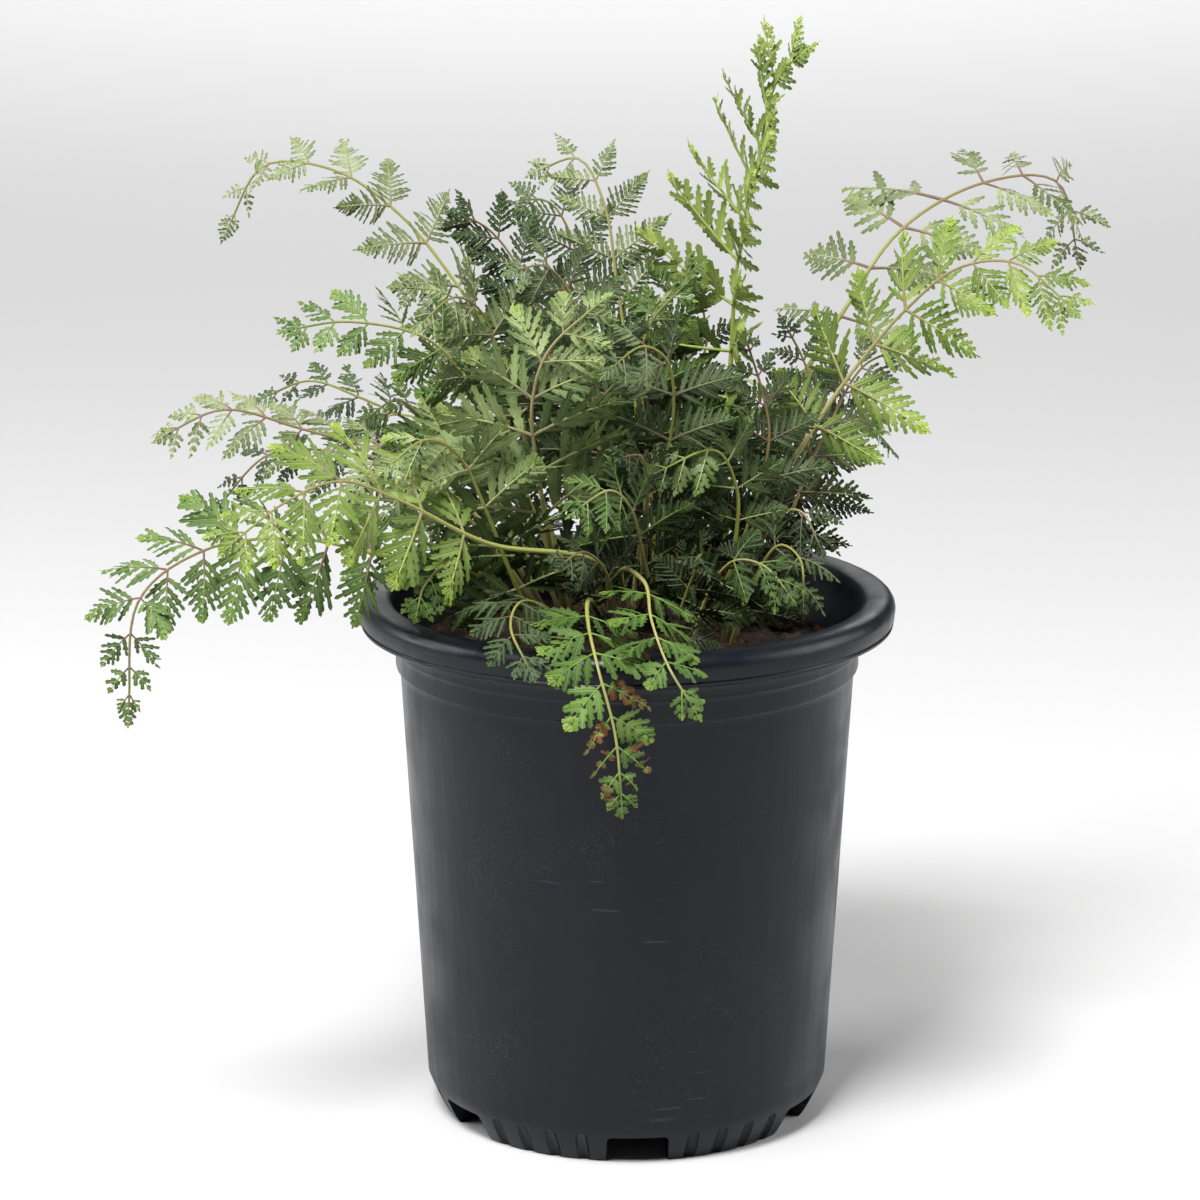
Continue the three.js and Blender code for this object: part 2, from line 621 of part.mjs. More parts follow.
// The run of one frond: the line of its stalk and midrib, and the directions along it.
class FrondLine {
  constructor(spec, seed) {
    this.spec = { ...USUAL, ...spec };
    this.seed = seed;
    const points = spec.path.map((p) => new THREE.Vector3(...p));
    const base = points[0];
    const root = new THREE.Vector3(base.x * ROOT_GATHER, base.y * ROOT_GATHER, base.z - ROOT_DEPTH);
    this.curve = new THREE.CatmullRomCurve3([root, ...points]);
    this.length = this.curve.getLength();
    this.face = new THREE.Vector3(...spec.face).normalize();
  }

  // The place at a share of the length, with unit vectors along, up from the upper side, and across.
  at(share) {
    const place = this.curve.getPointAt(share);
    const along = this.curve.getTangentAt(share);
    const up = this.face.clone().addScaledVector(along, -this.face.dot(along)).normalize();
    const across = along.clone().cross(up);
    return { place, along, up, across };
  }

  halfWidth(share) {
    return lerp(this.spec.stem, TIP_HALF_WIDTH, share);
  }

  // Where pair number i grows, as a share of the blade and of the whole length.
  pair(i) {
    const even = (i + 0.5) / (this.spec.pairs + 0.5);
    const blade = 1 - (1 - even) ** SPACING_POWER;
    return { blade, share: lerp(this.spec.bare, 1, blade) };
  }

  // The room between pair i and its neighbour nearer the tip.
  spacing(i) {
    const next = i + 1 < this.spec.pairs ? this.pair(i + 1).share : 1;
    return (next - this.pair(i).share) * this.length;
  }

  // The four corners of the stalk's section: right and left above, then left and right below.
  ring(share, grow = 0) {
    const { place, up, across } = this.at(share);
    const half = this.halfWidth(share);
    const wide = half + grow;
    const high = half * STALK_FLATNESS + grow;
    return [[1, 1], [-1, 1], [-1, -1], [1, -1]].map(([side, top]) =>
      place.clone().addScaledVector(across, side * wide).addScaledVector(up, top * high),
    );
  }
}

// How long a leaflet is along the blade, from the lowest pair to the tip.
function leafletLength(line, blade) {
  const grown = Math.min(1, SHORTEST_AT_BASE + GROWTH * blade);
  return line.spec.reach * grown * (1 - line.spec.taper * blade ** TAPER_POWER);
}

// One leaflet, as the outline of its upper and lower faces from the root's lower corner round to
// its upper one, the tip counted in.
function makeLeaflet(line, index, side, chance, bend) {
  const { blade, share } = line.pair(index);
  const { place, along, up, across } = line.at(share);
  const { odd } = line.spec;
  const isOdd = odd.pair === index && odd.side === side;
  const drawn = 1 + LENGTH_DRAW * (chance[0] - 0.5);
  const length = leafletLength(line, blade) * drawn * bend.share * (isOdd ? odd.times : 1);
  const turn = bend.turn + line.spec.turn[side > 0 ? 1 : 0] + (isOdd ? odd.turn : 0);
  const sweep = radians(lerp(SWEEP_BASE, line.spec.lean, blade) + SWEEP_DRAW * (chance[1] - 0.5) + turn);
  const lift = radians(line.spec.lift + LIFT_DRAW * (chance[2] - 0.5) + bend.tilt);
  const outward = across.clone().multiplyScalar(side * Math.cos(lift)).addScaledVector(up, Math.sin(lift));
  const way = outward.multiplyScalar(Math.cos(sweep)).addScaledVector(along, Math.sin(sweep));

  const room = ROOM_SHARE * line.spacing(index) * Math.cos(sweep) - OWN_CLEARANCE;
  const half = Math.min(line.spec.width * length, Math.max(room, SLIMMEST * length));
  const stalk = line.halfWidth(share);

  // A point of the leaflet, its distance out as a share of the length, and to its side in mm.
  const point = (out, aside) => {
    const middle = place.clone()
      .addScaledVector(way, out * length)
      .addScaledVector(along, LEAFLET_CURL * out * out * length)
      .addScaledVector(UP, -line.spec.sag * out * out * length);
    const run = way.clone()
      .addScaledVector(along, 2 * LEAFLET_CURL * out)
      .addScaledVector(UP, -2 * line.spec.sag * out)
      .normalize();
    const wide = up.clone().cross(run).multiplyScalar(side).normalize();
    const normal = run.clone().cross(wide).multiplyScalar(side);
    middle.addScaledVector(wide, aside).addScaledVector(normal, -MARGIN_DROP * Math.abs(aside));
    return {
      top: middle.clone().addScaledVector(normal, BLADE_THICKNESS / 2),
      bottom: middle.clone().addScaledVector(normal, -BLADE_THICKNESS / 2),
    };
  };

  // The side towards the frond's tip keeps clear of the midrib.
  const towardTip = (out, aside) => {
    const free = (out * length * Math.cos(sweep) - stalk - MIDRIB_GAP) / Math.sin(Math.max(sweep, 0.05));
    return Math.max(NARROWEST, Math.min(aside, free));
  };

  const lobes = LOBES.find((kind) => length >= kind.from);
  const lower = [];
  const upper = [];
  lobes.tips.forEach(([out, aside], i) => {
    lower.push(point(out, -aside * half));
    upper.push(point(out, towardTip(out, aside * half)));
    if (i < lobes.notches.length) {
      const [notchOut, notchAside] = lobes.notches[i];
      lower.push(point(notchOut, -notchAside * half));
      upper.push(point(notchOut, towardTip(notchOut, notchAside * half)));
    }
  });
  return { line, index, side, lower, upper, apex: point(1, 0), lobes: lobes.tips.length };
}

// Collects triangles and makes a geometry of them.
class Skin {
  constructor() {
    this.points = [];
    this.numbers = new Map();
    this.faces = [];
  }

  number(point) {
    if (!this.numbers.has(point)) {
      this.numbers.set(point, this.points.length);
      this.points.push(point);
    }
    return this.numbers.get(point);
  }

  triangle(a, b, c, flip = false) {
    const order = flip ? [a, c, b] : [a, b, c];
    this.faces.push(...order.map((p) => this.number(p)));
  }

  quad(a, b, c, d) {
    this.triangle(a, b, c);
    this.triangle(a, c, d);
  }

  geometry() {
    const geometry = new THREE.BufferGeometry();
    geometry.setAttribute(
      "position",
      new THREE.Float32BufferAttribute(this.points.flatMap((p) => p.toArray()), 3),
    );
    geometry.setIndex(this.faces);
    return geometry;
  }
}

// The two corners of a ring on one side of the stalk, as the root of a leaflet.
function rootCorner(ring, side) {
  return side > 0 ? { top: ring[0], bottom: ring[3] } : { top: ring[1], bottom: ring[2] };
}

// Adds a leaflet between two rings of its stalk; its root edge stays open, or is closed for a
// leaflet that stands by itself.
function addLeaflet(skin, leaflet, near, far, closed) {
  const flip = leaflet.side < 0;
  const first = rootCorner(near, leaflet.side);
  const last = rootCorner(far, leaflet.side);
  const lower = [first, ...leaflet.lower, leaflet.apex];
  const upper = [last, ...leaflet.upper, leaflet.apex];
  const both = (a, b, c) => {
    skin.triangle(a.top, b.top, c.top, flip);
    skin.triangle(a.bottom, c.bottom, b.bottom, flip);
  };
  const ends = Math.max(leaflet.lobes, 1);
  for (let k = 0; k < ends; k++) {
    const at = Math.min(2 * k, lower.length - 1);
    const next = Math.min(2 * k + 2, lower.length - 1);
    if (leaflet.lobes) {
      both(lower[at], lower[at + 1], lower[next]);
      both(upper[next], upper[at + 1], upper[at]);
    }
    both(lower[at], lower[next], upper[at]);
    if (k < ends - 1) both(upper[at], lower[next], upper[next]);
  }
  const outline = [...lower, ...upper.slice(0, -1).reverse()];
  const edges = closed ? outline.length : outline.length - 1;
  for (let k = 0; k < edges; k++) {
    const edge = [outline[k], outline[(k + 1) % outline.length]];
    const [a, b] = flip ? edge.reverse() : edge;
    skin.quad(a.bottom, b.bottom, b.top, a.top);
  }
}

// The stations of a frond's stalk, each with the pair that grows between it and the next, if any.
function stations(line) {
  const { bare, pairs } = line.spec;
  const steps = Math.max(2, Math.round((bare * line.length - SUNK_LENGTH) / STALK_STEP));
  const surface = SUNK_LENGTH / line.length;
  const list = [{ share: 0, pair: null }];
  for (let k = 0; k < steps; k++) list.push({ share: lerp(surface, bare, k / steps), pair: null });
  for (let i = 0; i < pairs; i++) {
    const { share } = line.pair(i);
    const half = Math.min(LEAFLET_ROOT, ROOT_SHARE * line.spacing(i)) / line.length;
    list.push({ share: share - half, pair: i }, { share: share + half, pair: null });
  }
  return list;
}

// A closed stretch of stalk through the given rings.
function addStalk(skin, rings) {
  skin.quad(rings[0][0], rings[0][1], rings[0][2], rings[0][3]);
  for (let k = 0; k + 1 < rings.length; k++) {
    for (let c = 0; c < 4; c++) {
      const d = (c + 1) % 4;
      skin.quad(rings[k][d], rings[k][c], rings[k + 1][c], rings[k + 1][d]);
    }
  }
  const end = rings[rings.length - 1];
  skin.quad(end[3], end[2], end[1], end[0]);
}

// A whole frond as one closed skin, with the leaflets that were placed.
function frondSkin(line, leaflets) {
  const skin = new Skin();
  const list = stations(line);
  const rings = list.map(({ share }) => line.ring(share));
  const tip = line.curve.getPointAt(1);
  skin.quad(rings[0][0], rings[0][1], rings[0][2], rings[0][3]);
  for (let k = 0; k + 1 < rings.length; k++) {
    for (let c = 0; c < 4; c++) {
      const d = (c + 1) % 4;
      const side = { 3: 1, 1: -1 }[c];
      const leaflet = side && leaflets.find((l) => l.index === list[k].pair && l.side === side);
      if (leaflet) addLeaflet(skin, leaflet, rings[k], rings[k + 1], false);
      else skin.quad(rings[k][d], rings[k][c], rings[k + 1][c], rings[k + 1][d]);
    }
  }
  const end = rings[rings.length - 1];
  for (let c = 0; c < 4; c++) skin.triangle(end[(c + 1) % 4], end[c], tip);
  return skin.geometry();
}

// What is already in place, so that a new leaflet passes clear of it.
class Crowd {
  constructor() {
    this.things = [];
  }

  add(owner, solid, isStalk = false) {
    this.things.push({ owner, solid, isStalk, box: solid.boundingBox() });
  }

  // A leaflet grows out of its own stalk, so there it may touch but not cut in.
  isClear(owner, solid) {
    const box = solid.boundingBox();
    return this.things.every((thing) => {
      if (thing.owner === owner && thing.isStalk) return solid.intersect(thing.solid).volume() < TOUCH_VOLUME;
      const gap = thing.owner === owner ? OWN_CLEARANCE : CLEARANCE;
      const apart = [0, 1, 2].some(
        (axis) => thing.box.min[axis] - box.max[axis] > gap || box.min[axis] - thing.box.max[axis] > gap,
      );
      return apart || solid.minGap(thing.solid, 2 * gap) >= gap;
    });
  }
}

// The stalk of a frond in short closed stretches, which the other fronds' leaflets pass clear of.
function stalkPieces(line) {
  const rings = stations(line).map(({ share }) => line.ring(share));
  return rings.slice(0, -1).map((ring, k) => {
    const skin = new Skin();
    addStalk(skin, [ring, rings[k + 1]]);
    return toSolid(skin.geometry());
  });
}

// The hole that a frond's stalk stands in, up through the soil's surface.
function stalkHole(line) {
  const skin = new Skin();
  const rings = [0, SUNK_LENGTH / line.length].map((share) => line.ring(share, HOLE_GAP));
  const { along } = line.at(0);
  rings[0].forEach((corner) => corner.addScaledVector(along, -HOLE_GAP));
  addStalk(skin, rings);
  return toSolid(skin.geometry());
}

// Places every leaflet of a frond, each in the first bend that passes clear of what is there.
function placeLeaflets(line, crowd) {
  const draw = draws(line.seed);
  const placed = [];
  const list = stations(line);
  for (let i = 0; i < line.spec.pairs; i++) {
    const root = list.findIndex(({ pair }) => pair === i);
    const near = line.ring(list[root].share);
    const far = line.ring(list[root + 1].share);
    for (const side of [-1, 1]) {
      const chance = [draw(), draw(), draw()];
      for (const bend of BENDS) {
        const leaflet = makeLeaflet(line, i, side, chance, bend);
        const skin = new Skin();
        addLeaflet(skin, leaflet, near, far, true);
        const solid = toSolid(skin.geometry());
        if (!crowd.isClear(line.spec.name, solid)) continue;
        crowd.add(line.spec.name, solid);
        placed.push(leaflet);
        break;
      }
    }
  }
  return placed;
}

function addMesh(group, name, geometry, material) {
  const mesh = new THREE.Mesh(geometry, material);
  mesh.name = name;
  group.add(mesh);
}

const lines = FRONDS.map((spec, i) => new FrondLine(spec, FIRST_SEED + SEED_STEP * i));
const pot = makePot();
const soil = lines.reduce((solid, line) => solid.subtract(stalkHole(line)), soilBlank());

const crowd = new Crowd();
crowd.add("pot", pot);
crowd.add("soil", soil);
for (const line of lines) {
  for (const piece of stalkPieces(line)) crowd.add(line.spec.name, piece, true);
}

const fern = new THREE.Group();
addMesh(fern, "pot", toGeometry(pot), COLOURS.pot);
addMesh(fern, "soil", toGeometry(soil), COLOURS.soil);
for (const line of lines) {
  const leaflets = placeLeaflets(line, crowd);
  addMesh(fern, line.spec.name, frondSkin(line, leaflets), COLOURS.fern);
}

export default fern;
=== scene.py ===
"""A Japanese painted fern in its black nursery pot, finished for a studio picture.

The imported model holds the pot, the soil and one plain solid for each frond. This script stands a
finer piece in the place of each of them: a smooth pot with its rolled lip, feet and flutes, a crumbly
potting mix, and fronds whose leaflets are cut into toothed pinnules on their purple ribs.
"""
import logging
import math
import random
from dataclasses import dataclass, field, fields
from enum import Enum
from functools import cached_property
from typing import ClassVar, Iterable, Sequence

import bpy
import numpy as np
from mathutils import Matrix, Vector, noise


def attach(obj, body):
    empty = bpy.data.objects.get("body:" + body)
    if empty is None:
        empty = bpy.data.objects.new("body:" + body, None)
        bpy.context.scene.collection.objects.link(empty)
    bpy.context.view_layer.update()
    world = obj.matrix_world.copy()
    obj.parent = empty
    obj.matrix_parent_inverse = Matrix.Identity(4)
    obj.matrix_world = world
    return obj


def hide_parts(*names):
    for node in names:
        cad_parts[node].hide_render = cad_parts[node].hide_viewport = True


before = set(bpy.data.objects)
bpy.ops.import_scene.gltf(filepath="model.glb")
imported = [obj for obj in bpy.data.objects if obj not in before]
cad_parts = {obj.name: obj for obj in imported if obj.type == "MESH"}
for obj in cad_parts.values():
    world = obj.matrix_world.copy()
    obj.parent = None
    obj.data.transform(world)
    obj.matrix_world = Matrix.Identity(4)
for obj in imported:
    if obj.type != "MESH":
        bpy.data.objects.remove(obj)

LOG = logging.getLogger("painted_fern")
MM = 0.001
UP = np.array([0.0, 0.0, 1.0])
TINY = 1e-12

Place = tuple[float, float, float]
Span = tuple[float, float]
Socket = bpy.types.NodeSocket


def unit(vectors: np.ndarray) -> np.ndarray:
    """Scales vectors to length one.

    Args:
        vectors: One vector, or an array of them in its last axis.

    Returns:
        The same array with every vector one long.
    """
    return vectors / np.maximum(np.linalg.norm(vectors, axis=-1, keepdims=True), TINY)


def smooth(low: float, high: float, value: np.ndarray) -> np.ndarray:
    """Eases from 0 at low to 1 at high."""
    share = np.clip((np.asarray(value, float) - low) / (high - low), 0.0, 1.0)
    return share * share * (3 - 2 * share)


def square_to(vectors: np.ndarray, axes: np.ndarray) -> np.ndarray:
    """Gives unit vectors at right angles to an axis, one for each row."""
    return unit(vectors - axes * np.sum(vectors * axes, axis=1, keepdims=True))


def swing(first: np.ndarray, second: np.ndarray, angle: np.ndarray) -> tuple[np.ndarray, np.ndarray]:
    """Turns pairs of directions at right angles in their own plane.

    Args:
        first: One direction of each pair, to a row.
        second: The other one, to a row.
        angle: How far the first turns to the second, in radians, for each row.

    Returns:
        Both directions after the turn.
    """
    cosine, sine = np.cos(angle)[:, None], np.sin(angle)[:, None]
    return first * cosine + second * sine, second * cosine - first * sine


def mix(first: np.ndarray, second: np.ndarray, share: np.ndarray) -> np.ndarray:
    """Blends two colours, or arrays of them, by a share for each row."""
    weight = np.asarray(share, float)[..., None]
    return first * (1 - weight) + second * weight


def colour(code: str) -> np.ndarray:
    """Turns a hex colour, as a screen shows it, into linear red, green and blue.

    The numbers of the curve are the usual ones of a screen.

    Args:
        code: Six hex digits.

    Returns:
        Three numbers from 0 to 1.
    """
    screen = np.array([int(code[k : k + 2], 16) for k in (0, 2, 4)]) / 255
    return np.where(screen <= 0.04045, screen / 12.92, ((screen + 0.055) / 1.055) ** 2.4)


class Draws:
    """Even draws from 0 to 1, the same ones that the solids' leaflets were placed with.

    The step and the shifts belong to the way of drawing.
    """

    WORD: ClassVar[int] = 0xFFFFFFFF
    STEP: ClassVar[int] = 0x6D2B79F5

    def __init__(self, seed: int) -> None:
        """Starts the run of draws at a seed."""
        self.state = seed & self.WORD

    def next(self) -> float:
        """Gives the next draw."""
        self.state = (self.state + self.STEP) & self.WORD
        mixed = self.state
        mixed = ((mixed ^ (mixed >> 15)) * (mixed | 1)) & self.WORD
        mixed ^= (mixed + (((mixed ^ (mixed >> 7)) * (mixed | 61)) & self.WORD)) & self.WORD
        return ((mixed ^ (mixed >> 14)) & self.WORD) / (self.WORD + 1)


class Sweep:
    """A centripetal Catmull-Rom line through given places, walked by its length."""

    DIVISIONS: ClassVar[int] = 200
    TANGENT_STEP: ClassVar[float] = 0.0001
    CLOSE: ClassVar[float] = 1e-4

    def __init__(self, places: np.ndarray) -> None:
        """Measures the line through the places, in millimetres."""
        self.places = places
        self.steps = np.linspace(0, 1, self.DIVISIONS + 1)
        along = np.linalg.norm(np.diff(self._points(self.steps), axis=0), axis=1)
        self.lengths = np.concatenate([[0.0], np.cumsum(along)])

    @property
    def length(self) -> float:
        """The whole length of the line."""
        return float(self.lengths[-1])

    def _point(self, step: float) -> np.ndarray:
        """Gives the place at a step from 0 to 1, counted by the given places."""
        last = len(self.places) - 1
        reach = last * step
        number = min(int(math.floor(reach)), last - 1)
        weight = reach - number
        second, third = self.places[number], self.places[number + 1]
        first = self.places[number - 1] if number > 0 else 2 * second - third
        fourth = self.places[number + 2] if number + 2 <= last else 2 * third - second
        near = (first, second, third, fourth)
        gaps = [float(np.sum((b - a) ** 2)) ** 0.25 for a, b in zip(near, near[1:])]
        middle = gaps[1] if gaps[1] > self.CLOSE else 1.0
        before, after = (gap if gap > self.CLOSE else middle for gap in (gaps[0], gaps[2]))
        out = (second - first) / before - (third - first) / (before + middle) + (third - second) / middle
        into = (third - second) / middle - (fourth - second) / (middle + after) + (fourth - third) / after
        out, into = out * middle, into * middle
        cubic = 2 * second - 2 * third + out + into
        square = -3 * second + 3 * third - 2 * out - into
        return second + out * weight + square * weight**2 + cubic * weight**3

    def _points(self, steps: Iterable[float]) -> np.ndarray:
        """Gives the places at several steps."""
        return np.array([self._point(float(step)) for step in steps])

    def _step(self, share: float) -> float:
        """Turns a share of the length into a step."""
        return float(np.interp(share * self.length, self.lengths, self.steps))

    def at(self, share: float) -> np.ndarray:
        """Gives the place at a share of the length."""
        return self._point(self._step(share))

    def along(self, share: float) -> np.ndarray:
        """Gives the direction of the line at a share of the length."""
        step = self._step(share)
        low = max(step - self.TANGENT_STEP, 0.0)
        high = min(step + self.TANGENT_STEP, 1.0)
        return unit(self._point(high) - self._point(low))


class Tint(Enum):
    """The colouring of a frond: its rib side, its margins and its tips, as a screen shows them."""

    SILVER = ("a6b080", "5c733d", "93a65a")
    PALE = ("b0bf80", "688948", "b3c76c")
    BRIGHT = ("a2b560", "688b2a", "b4d04a")
    MOSS = ("a8b862", "6c8a35", "c4d96a")
    GREEN = ("7d9955", "426624", "8aab45")
    FRESH = ("7a9a48", "446e26", "8fae40")
    GREY = ("7f8f68", "36502c", "6a8548")
    DARK = ("38552a", "182f0f", "38561c")
    DEEP = ("566c46", "223d1e", "476030")

    @property
    def silver(self) -> np.ndarray:
        """The colour along the ribs."""
        return colour(self.value[0])

    @property
    def margin(self) -> np.ndarray:
        """The colour of the margins."""
        return colour(self.value[1])

    @property
    def tip(self) -> np.ndarray:
        """The colour of the youngest tips."""
        return colour(self.value[2])


@dataclass(frozen=True)
class RibColours:
    """The colours of the stalks and ribs, as a screen shows them."""

    root: str = "33241a"
    stalk: str = "8f9a45"
    tan: str = "a39a6a"
    wine: str = "6d4149"
    green: str = "93a552"
    dead: str = "8a4a22"
    dead_edge: str = "b98a54"


@dataclass(frozen=True)
class FrondPlan:
    """One frond as it grows, with its places and lengths in millimetres.

    The path runs from the soil's surface to the tip. bare is the share of the line below the first
    leaflets, pairs how many pairs there are, reach the longest leaflet, width half a leaflet's width
    as a share of its length, and face the way the upper side looks. lift raises the leaflets above
    the frond's plane, in degrees; sag, taper and lean say how they droop, shorten and slant towards
    the tip; stem is half the stalk's width; turn turns the left and right leaflets besides; odd is
    one leaflet by pair and side that is longer and turns further. The rest is finish: the tint, how
    purple the ribs are, how much of the frond is dead, the bare share of a leaflet's own stalk, and
    the leaflets by pair and side that have withered to brown rolls.
    """

    name: str
    path: Sequence[Place]
    bare: float
    pairs: int
    reach: float
    width: float
    face: Place
    lift: float = 0
    sag: float = 0.16
    taper: float = 0.9
    lean: float = 46
    stem: float = 1
    turn: Span = (0, 0)
    odd: tuple[int, int, float, float] = (-1, 0, 1, 0)
    tint: Tint = Tint.GREEN
    wine: float = 0.5
    dead: float = 0.0
    stalked: float = 0.06
    withered: Sequence[tuple[int, int]] = ()


